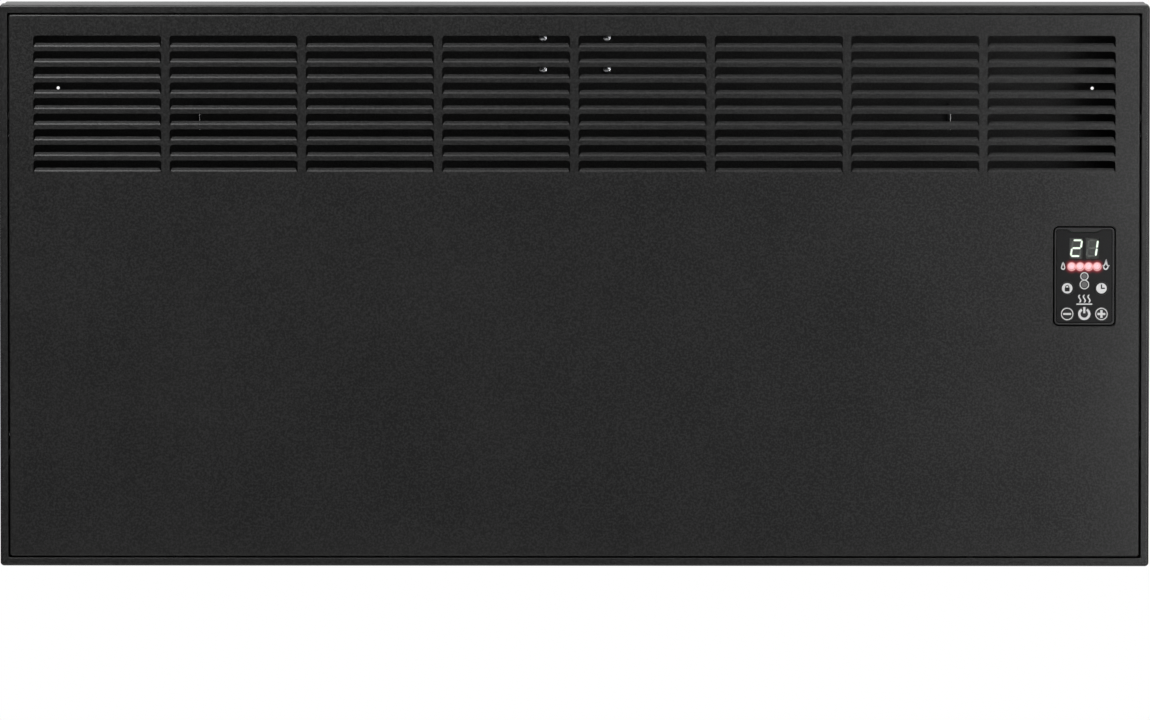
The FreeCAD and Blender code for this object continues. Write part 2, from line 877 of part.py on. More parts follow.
def heat_shield():
    """The bright reflector behind the element, with its long edges turned forward."""
    lip = 10.0
    sheet = block(shield_left, shield_right, y_shield - shield_sheet, y_shield, shield_low, shield_high)
    lips = [
        block(
            shield_left, shield_right, y_shield - lip, y_shield, shield_low, shield_low + shield_sheet
        ),
        block(
            shield_left, shield_right, y_shield - lip, y_shield, shield_high - shield_sheet, shield_high
        ),
    ]
    folded = sheet.multiFuse(lips).removeSplitter()
    return drilled(
        folded, small_shank + screw_clearance, shield_screw_places(), y_shield - 3, y_shield + 1
    )


def shield_spacers():
    ring = Part.makeCylinder(4.5, shield_standoff).cut(
        Part.makeCylinder(small_shank + screw_clearance, shield_standoff)
    )
    return group([facing(ring, vec(x, y_inside, z), vec(0, -1, 0)) for x, z in shield_screw_places()])


def shield_screws():
    screw = pan_screw(small_shank, shield_standoff + 3.0, pan_radius, pan_height)
    return group(
        [
            facing(screw, vec(x, y_shield - shield_sheet, z), vec(0, -1, 0))
            for x, z in shield_screw_places()
        ]
    )


def front_baffle():
    """A shallow tray welded behind the front panel, so that the panel stays cool."""
    outer = block(
        baffle_left, baffle_right, y_panel, y_panel + baffle_standoff, baffle_low, baffle_high
    )
    inner = block(
        baffle_left + shield_sheet,
        baffle_right - shield_sheet,
        y_panel - 1,
        y_panel + baffle_standoff - shield_sheet,
        baffle_low + shield_sheet,
        baffle_high - shield_sheet,
    )
    return outer.cut(inner)


partition_sheet = 0.8
partition_foot = 12.0
partition_low = case_bottom + steel + 1.0
partition_high = z_mid + 60.0
lead_hole_radius = 4.0


def partition_screw_places():
    x = partition_x + partition_foot / 2
    return [
        (x, z)
        for z in (partition_low + 30.0, (partition_low + partition_high) / 2, partition_high - 30.0)
    ]


def lead_hole_places():
    """(y, z) of the holes that let the element's leads through the partition: feed, then return."""
    return [(element_y, cutout_z + 27.0), (y_inside - 6.0, element_z - 45.0)]


def side_partition():
    """The sheet that keeps the warm air away from the electronics."""
    y_lead = y_case_front + 2.0
    sheet = block(
        partition_x, partition_x + partition_sheet, y_lead, y_inside, partition_low, partition_high
    )
    foot = block(
        partition_x,
        partition_x + partition_foot,
        y_inside - partition_sheet,
        y_inside,
        partition_low,
        partition_high,
    )
    folded = sheet.fuse(foot).removeSplitter()
    holes = [
        rod(
            lead_hole_radius, vec(partition_x - 2, y, z), vec(partition_x + 4, y, z)
        ) for y, z in lead_hole_places()
    ]
    folded = folded.cut(group(holes))
    return drilled(
        folded, small_shank + screw_clearance, partition_screw_places(), y_inside - 3, y_inside + 1
    )


def foot_screws():
    """The short screws in the feet of the element's brackets and of the partition."""
    screw = pan_screw(small_shank, 5.0, pan_radius, pan_height)
    seats = [(x, y_inside - bracket_plate, z) for side in (-1, 1) for x, z in element_foot_places(side)]
    seats += [(x, y_inside - partition_sheet, z) for x, z in partition_screw_places()]
    return group([facing(screw, vec(*seat), vec(0, -1, 0)) for seat in seats])


# ---------------------------------------------------------------- over-temperature cut-out
cutout_x = 60.0
cutout_z = element_z + arm_reach + 16.0
cutout_arm_y = element_y - 9.0
cutout_sheet = 1.0
cutout_cup = 6.0  # the hole that the cup sits in
cutout_height = 8.0
cutout_tab = 8.0
cutout_tab_x = 4.5


def cutout_bracket():
    """An angle on the heat shield that holds the cut-out above the element."""
    y_foot = y_shield - shield_sheet
    foot = block(cutout_x - 14, cutout_x + 14, y_foot - cutout_sheet, y_foot, cutout_z, cutout_z + 24)
    arm = block(
        cutout_x - 14, cutout_x + 14, cutout_arm_y - 6, y_foot, cutout_z, cutout_z + cutout_sheet
    )
    hole = Part.makeCylinder(cutout_cup, 4.0, vec(cutout_x, element_y, cutout_z - 1))
    return foot.fuse(arm).removeSplitter().cut(hole)


def thermal_cutout():
    """The bimetal disc switch: a cup under the arm and a body with two tabs above it."""
    seat = cutout_z + cutout_sheet
    cup = Part.makeCylinder(
        cutout_cup - 0.1, cutout_sheet + 3.0, vec(cutout_x, element_y, cutout_z - 3.0)
    )
    flange = Part.makeCylinder(8.5, 1.0, vec(cutout_x, element_y, seat))
    body = Part.makeCylinder(7.8, cutout_height, vec(cutout_x, element_y, seat))
    top = seat + cutout_height
    tabs = [
        block(x - 0.4, x + 0.4, element_y - 3.1, element_y + 3.1, top - 0.5, top + cutout_tab)
        for x in (cutout_x - cutout_tab_x, cutout_x + cutout_tab_x)
    ]
    return cup.multiFuse([flange, body] + tabs).removeSplitter()


# ---------------------------------------------------------------- control unit
y_ridge = y_front - 0.4
y_groove = y_front + 1.8
ridge_out_width = control_width - 2 * bezel_groove
ridge_out_height = control_height - 2 * bezel_groove
pocket_width = ridge_out_width - 2 * bezel_ridge
pocket_height = ridge_out_height - 2 * bezel_ridge
pocket_corner = 2.2
fascia_clearance = 0.55
tab_drop = 2.0
tab_wide = 28.0
tab_narrow = 18.0
y_board = y_bezel_back  # front of the control board
y_board_back = y_board + board_sheet
control_screw_inset = 2.5
control_screw_radius = 1.2
stud_radius = 1.5
stud_length = 8.0
flange_sheet = 1.8
flange_side = 5.0  # how far the housing's flange passes the unit
flange_end = 12.0
stud_inset = 4.5
y_housing_back = -housing_back


def finger_tab(grow, y0, y1):
    """The small grip at the top of the bezel's window, with swept ends."""
    top = control_z + pocket_height / 2 + (0 if grow else 1.0)
    low = control_z + pocket_height / 2 - tab_drop - grow
    wide = tab_wide / 2 + grow
    narrow = tab_narrow / 2 + grow

    def at(x, z):
        return vec(control_x + x, y0, z)

    sweep = (wide - narrow) / 3
    left = Part.BezierCurve()
    left.setPoles([at(-wide, top), at(-narrow - sweep, top), at(-wide + sweep, low), at(-narrow, low)])
    right = Part.BezierCurve()
    right.setPoles([at(narrow, low), at(wide - sweep, low), at(narrow + sweep, top), at(wide, top)])
    outline = Part.Wire(
        [
            left.toShape(),
            Part.LineSegment(at(-narrow, low), at(narrow, low)).toShape(),
            right.toShape(),
            Part.LineSegment(at(wide, top), at(-wide, top)).toShape(),
        ]
    )
    return Part.Face(outline).extrude(vec(0, y1 - y0, 0))


def control_plate(width, height, corner, y0, y1):
    return rounded_plate(control_x, control_z, width, height, corner, y0, y1)


def control_bezel():
    """The moulded ring: an outer groove, a raised ridge, a pocket and a ledge behind it."""
    body = control_plate(control_width, control_height, control_corner, y_ridge, y_bezel_back)
    outside = control_plate(
        control_width + 2, control_height + 2, control_corner + 1, y_ridge - 1, y_groove
    )
    ridge = control_plate(
        ridge_out_width, ridge_out_height, control_corner - bezel_groove, y_ridge - 2, y_groove + 1
    )
    body = body.cut(outside.cut(ridge))
    body = body.cut(
        control_plate(pocket_width, pocket_height, pocket_corner, y_ridge - 1, y_fascia_back)
    )
    throat_width = pocket_width - 2 * ledge_width
    throat_height = pocket_height - 2 * ledge_width
    body = body.cut(
        control_plate(throat_width, throat_height, pocket_corner * 0.6, y_ridge, y_bezel_back + 1)
    )
    body = body.fuse(finger_tab(0, y_ridge + 0.1, y_fascia_back)).removeSplitter()
    return drilled(
        body,
        control_screw_radius + screw_clearance,
        control_screw_places(),
        y_bezel_back - 3.5,
        y_bezel_back + 1,
    )


def control_screw_places():
    dx = control_width / 2 - control_screw_inset
    dz = control_height / 2 - control_screw_inset - 0.5
    return [(control_x + sx * dx, control_z + sz * dz) for sx in (-1, 1) for sz in (-1, 1)]


def key_places():
    """Each key's name and centre."""
    low = control_z + key_low_row
    high = control_z + key_high_row
    return {
        "minus": (control_x - key_column, low),
        "power": (control_x, low),
        "plus": (control_x + key_column, low),
        "lock": (control_x - key_column, high),
        "timer": (control_x + key_column, high),
    }


def control_fascia():
    """The smoked window, with a round hole for each key."""
    window = control_plate(
        pocket_width - 2 * fascia_clearance,
        pocket_height - 2 * fascia_clearance,
        pocket_corner - fascia_clearance,
        y_fascia,
        y_fascia_back,
    )
    window = window.cut(finger_tab(fascia_clearance, y_fascia - 1, y_fascia_back + 1))
    return drilled(
        window, key_radius + key_clearance, list(key_places().values()), y_fascia - 1, y_fascia_back + 1
    )


def control_key(x, z):
    """A round key with two wings behind the fascia and a stem into its switch."""
    y_wing = y_fascia_back + 0.05
    cap = Part.makeCylinder(key_radius, y_wing + 0.8 - y_fascia, vec(x, y_fascia, z), vec(0, 1, 0))
    cap = cap.makeFillet(0.3, [e for e in cap.Edges if e.BoundBox.YMax < y_fascia + 1e-6])
    wings = block(x - wing_reach, x + wing_reach, y_wing, y_wing + 0.8, z - 1.5, z + 1.5)
    stem = Part.makeCylinder(stem_radius, y_switch + 0.6 - y_wing, vec(x, y_wing, z), vec(0, 1, 0))
    return cap.multiFuse([wings, stem]).removeSplitter()


switch_height = 3.6
y_switch = y_board - switch_height


def tact_switches():
    """The five click switches on the control board."""
    made = []
    for x, z in key_places().values():
        body = block(x - 3.0, x + 3.0, y_switch, y_board, z - 3.0, z + 3.0)
        well = Part.makeCylinder(stem_radius + 0.15, 2.2, vec(x, y_switch, z), vec(0, 1, 0))
        made.append(body.cut(well))
    return group(made)


def control_pcb():
    board = control_plate(control_width, control_height, control_corner, y_board, y_board_back)
    return drilled(
        board,
        control_screw_radius + screw_clearance,
        control_screw_places(),
        y_board - 1,
        y_board_back + 1,
    )


def control_screws():
    """Four long screws that clamp housing, board and bezel."""
    reach = -y_bezel_back - housing_back + 3.0
    screw = pan_screw(control_screw_radius, reach, 2.2, 1.6)
    return group(
        [facing(screw, vec(x, y_housing_back, z), vec(0, 1, 0)) for x, z in control_screw_places()]
    )


def stud_places():
    dx = control_width / 2 - 7.0
    dz = control_height / 2 + flange_end - stud_inset
    return [(control_x + sx * dx, control_z + sz * dz) for sx in (-1, 1) for sz in (-1, 1)]


def control_housing():
    """The box behind the panel, with a flange for the studs and a pillar at each corner."""
    inner_width = control_width + 2 * control_gap
    inner_height = control_height + 2 * control_gap
    flange_width = control_width + 2 * flange_side
    flange_height = control_height + 2 * flange_end
    flange = control_plate(flange_width, flange_height, 4.0, y_panel, y_panel + flange_sheet)
    box = control_plate(
        inner_width + 2 * housing_wall,
        inner_height + 2 * housing_wall,
        control_corner + 2,
        y_panel,
        y_housing_back,
    )
    pocket = control_plate(
        inner_width,
        inner_height,
        control_corner + control_gap,
        y_panel - 1,
        y_housing_back - housing_wall,
    )
    shell = flange.fuse(box).cut(pocket)
    pillars = [
        Part.makeCylinder(
            2.6, y_housing_back - y_board_back - 0.05, vec(x, y_board_back + 0.05, z), vec(0, 1, 0)
        )
        for x, z in control_screw_places()
    ]
    shell = shell.multiFuse(pillars).removeSplitter()
    shell = drilled(
        shell,
        control_screw_radius + screw_clearance,
        control_screw_places(),
        y_board_back - 1,
        y_housing_back + 1,
    )
    shell = drilled(
        shell, stud_radius + screw_clearance, stud_places(), y_panel - 1, y_panel + flange_sheet + 1
    )
    lead_way = rounded_plate(
        control_x, control_z - 30.0, 16.0, 8.0, 2.0, y_housing_back - 4, y_housing_back + 1
    )
    return shell.cut(lead_way)


def control_studs():
    stud = Part.makeCylinder(stud_radius, stud_length)
    return group([facing(stud, vec(x, y_panel, z), vec(0, 1, 0)) for x, z in stud_places()])


def control_nuts():
    across = 5.5
    height = 2.4
    corners = [
        vec(
            across / math.sqrt(3) * math.cos(math.radians(a)),
            across / math.sqrt(3) * math.sin(math.radians(a)),
            0,
        )
        for a in range(0, 360, 60)
    ]
    hexagon = Part.Face(Part.makePolygon(corners + corners[:1])).extrude(vec(0, 0, height))
    nut = hexagon.cut(Part.makeCylinder(stud_radius + screw_clearance, height))
    return group(
        [facing(nut, vec(x, y_panel + flange_sheet, z), vec(0, 1, 0)) for x, z in stud_places()]
    )


def display_module():
    """The two-digit lamp block behind the fascia."""
    z = control_z + display_rise
    return block(
        control_x - display_width / 2,
        control_x + display_width / 2,
        y_fascia_back + 0.6,
        y_board,
        z - display_height / 2,
        z + display_height / 2,
    )


def segment_bar(x, z, length, upright, lean):
    """One pointed bar of a digit, leaning with the digit."""
    half = length / 2
    tip = segment_width / 2
    outline = [
        (-half, 0),
        (-half + tip, tip),
        (half - tip, tip),
        (half, 0),
        (half - tip, -tip),
        (-half + tip, -tip),
    ]
    if upright:
        outline = [(b, a) for a, b in outline]
    y = y_fascia_back + 0.35
    corners = [vec(x + a + (z + b) * lean, y, b + z) for a, b in outline]
    bar = Part.Face(Part.makePolygon(corners + corners[:1])).extrude(vec(0, 0.25, 0))
    bar.translate(vec(control_x, 0, control_z + display_rise))
    return bar


def digit_segments():
    """The fourteen bars of the two digits."""
    lean = math.tan(math.radians(digit_slant))
    gap = 0.25
    wide = digit_width / 2
    tall = digit_height / 2 - segment_width / 2
    bars = []
    for middle in (-digit_pitch / 2, digit_pitch / 2):
        for level in (-tall, 0, tall):
            bars.append(segment_bar(middle, level, 2 * wide - 2 * gap, False, lean))
        for side in (-1, 1):
            for level in (-tall / 2, tall / 2):
                bars.append(segment_bar(middle + side * wide, level, tall - 2 * gap, True, lean))
    return group(bars)


def lamp(x, z, radius):
    """A round lamp with a domed end, standing on the control board."""
    y_tip = y_fascia_back + 0.5
    body = Part.makeCylinder(radius, y_board - y_tip - radius, vec(x, y_tip + radius, z), vec(0, 1, 0))
    return body.fuse(Part.makeSphere(radius, vec(x, y_tip + radius, z))).removeSplitter()


def heat_leds():
    places = [control_x + (i - 1.5) * led_pitch for i in range(4)]
    return group([lamp(x, control_z + led_rise, led_radius) for x in places])


def mode_leds():
    return group([lamp(control_x, control_z + rise, mode_led_radius) for rise in mode_led_rises])


# ---------------------------------------------------------------- power electronics
board_x = 405.0
board_z = z_mid - 20.0
board_width = 72.0
board_height = 110.0
board_standoff = 12.0
y_power_board = y_inside - board_standoff  # rear face of the power board
y_power_front = y_power_board - board_sheet
terminal_z = z_mid - 172.0
terminal_xs = (392.0, 404.0, 416.0)
terminal_screw_radius = 2.2
y_terminal = y_inside - 9.0
lead_radius = 1.5
thin_lead_radius = 1.0
lead_bend = 12.0


def board_screw_places():
    dx = board_width / 2 - 5.0
    dz = board_height / 2 - 5.0
    return [(board_x + sx * dx, board_z + sz * dz) for sx in (-1, 1) for sz in (-1, 1)]


def power_board():
    board = rounded_plate(
        board_x, board_z, board_width, board_height, 2.0, y_power_front, y_power_board
    )
    return drilled(
        board, small_shank + screw_clearance, board_screw_places(), y_power_front - 1, y_power_board + 1
    )


def board_spacers():
    ring = Part.makeCylinder(3.5, board_standoff).cut(
        Part.makeCylinder(small_shank + screw_clearance, board_standoff)
    )
    return group([facing(ring, vec(x, y_inside, z), vec(0, -1, 0)) for x, z in board_screw_places()])


def board_screws():
    screw = pan_screw(small_shank, board_standoff + board_sheet + 3.0, pan_radius, pan_height)
    return group(
        [facing(screw, vec(x, y_power_front, z), vec(0, -1, 0)) for x, z in board_screw_places()]
    )


def power_relay():
    relay = block(
        board_x - 24, board_x + 4, y_power_front - 15.0, y_power_front, board_z - 34, board_z - 22
    )
    return relay.makeFillet(0.8, edges_on(relay, None, y=y_power_front - 15.0))


def power_transformer():
    """The small supply block: a potted core and the smoothing capacitor beside it."""
    core = block(
        board_x - 22, board_x + 8, y_power_front - 20.0, y_power_front, board_z + 12, board_z + 38
    )
    core = core.makeFillet(1.0, edges_on(core, None, y=y_power_front - 20.0))
    can = Part.makeCylinder(5.0, 18.0, vec(board_x + 20, y_power_front, board_z + 22), vec(0, -1, 0))
    can = can.makeFillet(0.6, [e for e in can.Edges if e.BoundBox.YMax < y_power_front - 17.9])
    return group([core, can])


def terminal_block():
    """The three-way block that the mains cable's cores end in."""
    x0, x1 = terminal_xs[0] - 7, terminal_xs[-1] + 7
    body = block(x0, x1, y_inside - 18.0, y_inside, terminal_z - 11, terminal_z + 11)
    cutters = []
    for x in terminal_xs:
        screw_way = Part.makeCylinder(
            terminal_screw_radius + screw_clearance,
            9.0,
            vec(x, y_inside - 18.0, terminal_z),
            vec(0, 1, 0),
        )
        wire_way = Part.makeCylinder(
            lead_radius + screw_clearance, 30.0, vec(x, y_terminal, terminal_z - 15.0)
        )
        cutters += [screw_way, wire_way]
    return body.cut(group(cutters))


def terminal_screws():
    screw = Part.makeCylinder(terminal_screw_radius, 4.0)
    slot = block(-3.0, 3.0, -0.4, 0.4, 3.0, 4.5)
    screw = screw.cut(slot)
    y_seat = y_terminal - lead_radius
    return group([facing(screw, vec(x, y_seat, terminal_z), vec(0, -1, 0)) for x in terminal_xs])


def earth_stud():
    x, z = earth_place
    screw = pan_screw(earth_radius, 14.0, 4.0, 2.2)
    return facing(screw, vec(x, y_back, z), vec(0, 1, 0))


def earth_nut():
    x, z = earth_place
    across = 8.0
    corners = [
        vec(
            across / math.sqrt(3) * math.cos(math.radians(a)),
            across / math.sqrt(3) * math.sin(math.radians(a)),
            0,
        )
        for a in range(0, 360, 60)
    ]
    nut = Part.Face(Part.makePolygon(corners + corners[:1])).extrude(vec(0, 0, 3.2))
    nut = nut.cut(Part.makeCylinder(earth_radius + screw_clearance, 3.2))
    return facing(nut, vec(x, y_inside - lug_sheet, z), vec(0, -1, 0))


def back_screw_places():
    """Every screw that bites into the back of the case."""
    return (
        stiffener_screw_places
        + element_foot_places(-1)
        + element_foot_places(1)
        + shield_screw_places()
        + partition_screw_places()
        + board_screw_places()
    )


sensor_x = 440.0
sensor_y = -70.0


def temperature_sensor():
    """The room sensor: a small bulb in a clip on the bottom grille."""
    low = case_bottom + steel
    foot = block(sensor_x - 6, sensor_x + 6, sensor_y - 5, sensor_y + 5, low, low + 1.5)
    post = block(sensor_x - 2, sensor_x + 2, sensor_y - 3, sensor_y + 3, low, low + 9.0)
    bulb = rod(
        2.6, vec(sensor_x, sensor_y - 9.0, low + 11.0), vec(sensor_x, sensor_y + 7.0, low + 11.0)
    )
    return foot.multiFuse([post, bulb]).removeSplitter()


# ---------------------------------------------------------------- leads inside the case


def mains_leads():
    """Live and neutral from the terminal block up to the power board."""
    z_board = board_z - board_height / 2
    y_out = y_power_front - 8.0
    leads = []
    for x_low, x_high in ((terminal_xs[0], board_x - 10.0), (terminal_xs[1], board_x + 4.0)):
        route = [
            vec(x_low, y_terminal, terminal_z - 6.0),
            vec(x_low, y_terminal, terminal_z + 34.0),
            vec(x_high, y_out, z_board - 14.0),
            vec(x_high, y_out, z_board + 12.0),
            vec(x_high, y_power_front, z_board + 12.0),
        ]
        leads.append(tube_along(route, lead_radius, lead_bend))
    return group(leads)


def earth_lead():
    """From the terminal block to a ring lug under the nut on the case."""
    x, z = earth_place
    barrel_top = z - lug_reach
    barrel_foot = barrel_top - lug_barrel
    route = [
        vec(terminal_xs[2], y_terminal, terminal_z - 6.0),
        vec(terminal_xs[2], y_terminal, terminal_z + 30.0),
        vec(x, lug_y, barrel_foot - 8.0),
        vec(x, lug_y, barrel_foot),
    ]
    ring = Part.makeCylinder(5.0, lug_sheet, vec(x, y_inside, z), vec(0, -1, 0))
    tongue = block(x - 2.4, x + 2.4, y_inside - lug_sheet, y_inside, barrel_top - 2.0, z)
    barrel = Part.makeCylinder(2.4, lug_barrel, vec(x, lug_y, barrel_foot))
    lug = ring.multiFuse([tongue, barrel]).removeSplitter()
    lug = lug.cut(
        Part.makeCylinder(earth_radius + screw_clearance, 4.0, vec(x, y_inside + 1, z), vec(0, -1, 0))
    )
    return group([tube_along(route, lead_radius, lead_bend), lug])


def element_leads():
    """The feed to the cut-out, the link on to the element's right end, and the return from its left."""
    right_tab = element_right + core_overhang + tab_reach
    left_tab = element_left - core_overhang - tab_reach
    z_cutout = cutout_z + cutout_sheet + cutout_height + cutout_tab
    z_board = board_z - board_height / 2
    y_out = y_power_front - 8.0
    (y_feed, z_feed), (y_return, z_return) = lead_hole_places()
    feed = [
        vec(cutout_x + cutout_tab_x, element_y, z_cutout),
        vec(cutout_x + cutout_tab_x, element_y, z_feed),
        vec(partition_x + 10.0, y_feed, z_feed),
        vec(board_x - 22.0, y_out, z_board + 12.0),
        vec(board_x - 22.0, y_power_front, z_board + 12.0),
    ]
    y_link = element_y - 10.0
    x_turn = partition_x - 6.0
    link = [
        vec(cutout_x - cutout_tab_x, element_y, z_cutout),
        vec(cutout_x - cutout_tab_x, element_y, z_cutout + 9.0),
        vec(cutout_x + 4.0, y_link, z_feed + 5.0),
        vec(x_turn - 20.0, y_link, z_feed + 5.0),
        vec(x_turn, element_y, z_feed - 20.0),
        vec(x_turn, element_y, element_z),
        vec(right_tab, element_y, element_z),
    ]
    back = [
        vec(left_tab, element_y, element_z),
        vec(left_tab - 12.0, element_y, element_z),
        vec(left_tab - 14.0, element_y + 14.0, element_z - 26.0),
        vec(left_tab - 2.0, y_return, z_return),
        vec(partition_x + 10.0, y_return, z_return),
        vec(partition_x + 18.0, y_return - 8.0, z_return + 30.0),
        vec(partition_x + 18.0, y_out, z_board),
        vec(partition_x + 20.5, y_out, z_board + 21.0),
        vec(partition_x + 20.5, y_power_front, z_board + 21.0),
    ]
    return group([tube_along(route, lead_radius, lead_bend) for route in (feed, link, back)])


def signal_leads():
    """The room sensor's lead and the link between the two boards."""
    low = case_bottom + steel + 11.0
    y_end = sensor_y + 7.0
    z_way = control_z - 30.0
    sensor = [
        vec(sensor_x, y_end, low),
        vec(sensor_x, y_end + 10.0, low),
        vec(sensor_x + 4.0, y_end + 14.0, low + 40.0),
        vec(sensor_x - 4.0, y_end + 12.0, z_mid - 80.0),
        vec(control_x + 4.0, y_housing_back + 12.0, z_way),
        vec(control_x + 4.0, y_board_back, z_way),
    ]
    link = [
        vec(control_x - 4.0, y_power_front, z_way - 3.0),
        vec(control_x - 4.0, y_power_front - 16.0, z_way - 3.0),
        vec(control_x - 4.0, y_housing_back + 6.0, z_way),
        vec(control_x - 4.0, y_board_back, z_way),
    ]
    return group([tube_along(route, thin_lead_radius, lead_bend) for route in (sensor, link)])


# ---------------------------------------------------------------- export
def all_parts():
    parts = {
        "wall_bracket": wall_bracket(),
        "front_frame": front_frame(),
        "front_panel": front_panel(),
        "rear_case": rear_case(),
        "bottom_grille": bottom_grille(),
        "panel_washers": panel_washers(),
        "panel_rivets": panel_rivets(),
        "case_screws": case_screws(),
        "stiffener_plate": stiffener_plate(),
        "stiffener_screws": stiffener_screws(),
        "wall_spacer_left": wall_spacer(-1),
        "wall_spacer_right": wall_spacer(1),
        "cable_grommet": cable_grommet(),
        "heating_element": heating_element(),
        "element_core": element_core(),
        "element_terminals": element_terminals(),
        "element_bush_left": element_bush(-1),
        "element_bush_right": element_bush(1),
        "element_bracket_left": element_bracket(-1),
        "element_bracket_right": element_bracket(1),
        "heat_shield": heat_shield(),
        "shield_spacers": shield_spacers(),
        "shield_screws": shield_screws(),
        "front_baffle": front_baffle(),
        "side_partition": side_partition(),
        "foot_screws": foot_screws(),
        "cutout_bracket": cutout_bracket(),
        "thermal_cutout": thermal_cutout(),
        "control_bezel": control_bezel(),
        "control_fascia": control_fascia(),
        "control_housing": control_housing(),
        "control_pcb": control_pcb(),
        "control_screws": control_screws(),
        "control_studs": control_studs(),
        "control_nuts": control_nuts(),
        "display_module": display_module(),
        "digit_segments": digit_segments(),
        "heat_leds": heat_leds(),
        "mode_leds": mode_leds(),
        "tact_switches": tact_switches(),
        "power_board": power_board(),
        "board_spacers": board_spacers(),
        "board_screws": board_screws(),
        "power_relay": power_relay(),
        "power_transformer": power_transformer(),
        "terminal_block": terminal_block(),
        "terminal_screws": terminal_screws(),
        "earth_stud": earth_stud(),
        "earth_nut": earth_nut(),
        "temperature_sensor": temperature_sensor(),
        "mains_leads": mains_leads(),
        "earth_lead": earth_lead(),
        "element_leads": element_leads(),
        "signal_leads": signal_leads(),
    }
    for name, (x, z) in key_places().items():
        parts["key_" + name] = control_key(x, z)
    return parts


def main():
    os.makedirs("parts", exist_ok=True)
    for name, shape in all_parts().items():
        if not shape.isValid() or min(s.Volume for s in shape.Solids) <= 0:
            raise ValueError(f"{name} is not a set of valid solids")
        shape.exportStep(f"parts/{name}.step")
        print(f"{name}: {len(shape.Solids)} solids, {shape.Volume / 1000:.2f} cm3")


main()
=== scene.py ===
"""Looks of a wall-hung panel heater: its louvred case, its control and every finish.

All lengths are in metres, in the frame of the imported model: +X to the right of a person who
faces the heater, +Y into the wall, +Z up, origin at the middle of the wall screws.
"""

import enum
import logging
import math
from collections.abc import Callable, Iterable, Sequence
from dataclasses import dataclass, field
from typing import Any

import bmesh
import bpy
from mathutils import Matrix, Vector


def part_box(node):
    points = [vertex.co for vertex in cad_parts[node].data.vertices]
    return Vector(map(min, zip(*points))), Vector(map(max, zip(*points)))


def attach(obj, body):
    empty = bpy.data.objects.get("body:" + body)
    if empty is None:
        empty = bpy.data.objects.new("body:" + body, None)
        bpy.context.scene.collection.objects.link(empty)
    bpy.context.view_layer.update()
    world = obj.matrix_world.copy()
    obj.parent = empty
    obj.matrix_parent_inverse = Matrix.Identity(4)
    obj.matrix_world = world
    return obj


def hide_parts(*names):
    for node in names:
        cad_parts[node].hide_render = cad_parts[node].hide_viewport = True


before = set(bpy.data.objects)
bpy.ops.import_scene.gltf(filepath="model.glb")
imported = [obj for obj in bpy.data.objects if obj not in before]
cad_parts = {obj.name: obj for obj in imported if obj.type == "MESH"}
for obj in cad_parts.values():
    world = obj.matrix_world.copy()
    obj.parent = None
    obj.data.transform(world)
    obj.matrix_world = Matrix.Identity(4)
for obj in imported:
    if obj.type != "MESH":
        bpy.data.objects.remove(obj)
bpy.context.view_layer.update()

MM = 0.001
LOG = logging.getLogger("panel_heater")

Point = tuple[float, float, float]
Test = Callable[[Any], bool]


# ------------------------------------------------------------------------------ shader maths
class Sheet:
    """The node tree of one material, with one method that makes every node."""

    def __init__(self, name: str) -> None:
        """Start an empty material.

        Args:
            name: the material's name.
        """
        self.material = bpy.data.materials.new(name)
        self.material.use_nodes = True
        self.tree = self.material.node_tree
        self.tree.nodes.clear()

    def node(self, kind: str, settings: dict[str, Any] | None = None, **sockets: Any) -> Any:
        """Add one node, set it up and feed its sockets.

        Args:
            kind: the node's type, without the "ShaderNode" in front.
            settings: the node's own properties, such as a Math node's operation.
            **sockets: values or wires by input name, with spaces written as underscores, or by
                place as i0, i1 and so on.

        Returns:
            The node's first output, if it has one.
        """
        made = self.tree.nodes.new("ShaderNode" + kind)
        for key, value in (settings or {}).items():
            setattr(made, key, value)
        for key, value in sockets.items():
            place = int(key[1:]) if key[0] == "i" and key[1:].isdigit() else key.replace("_", " ")
            target = made.inputs[place]
            if isinstance(value, Wire):
                self.tree.links.new(value.socket, target)
            else:
                target.default_value = value
        return Wire(self, made.outputs[0]) if made.outputs else None

    def place(self, scale: float | Point = 1.0, shift: Point = (0.0, 0.0, 0.0)) -> "Wire":
        """The piece's own coordinates, in metres, scaled and then shifted.

        Args:
            scale: one factor or three.
            shift: what is added after the scale.

        Returns:
            The coordinates.
        """
        here = self.node("TexCoord").output("Object")
        factors = (scale,) * 3 if isinstance(scale, (int, float)) else scale
        return self.node("Mapping", Vector=here, Scale=factors, Location=shift)

    def noise(self, size: float, detail: float = 3.0, roughness: float = 0.5) -> "Wire":
        """Soft noise whose features are about one size across.

        Args:
            size: feature size in metres.
            detail: octaves.
            roughness: how strong the fine octaves are.

        Returns:
            A value around 0.5.
        """
        where = self.place()
        rough = {"Detail": detail, "Roughness": roughness}
        return self.node("TexNoise", Vector=where, Scale=1.0 / size, **rough)

    def blend(self, mask: "Wire | float", low: Any, high: Any) -> "Wire":
        """Mix two colours.

        Args:
            mask: 0 gives low and 1 gives high.
            low: a colour or a wire.
            high: a colour or a wire.

        Returns:
            The mixed colour.
        """
        settings = {"data_type": "RGBA"}
        mixed = self.node("Mix", settings, i0=mask, i6=rgba(low), i7=rgba(high))
        return mixed.output(2)

    def bump(self, height: "Wire", strength: float, distance: float) -> "Wire":
        """Turn a height into a normal.

        Args:
            height: the height, about 0 to 1.
            strength: how strongly it shows.
            distance: what a height of 1 stands for, in metres.

        Returns:
            The normal.
        """
        return self.node("Bump", Height=height, Strength=strength, Distance=distance)

    def finish(self, **sockets: Any) -> bpy.types.Material:
        """Close the material with a Principled shader.

        Args:
            **sockets: the shader's inputs, spaces written as underscores.

        Returns:
            The material.
        """
        shader = self.node("BsdfPrincipled", **sockets)
        self.node("OutputMaterial", Surface=shader)
        return self.material


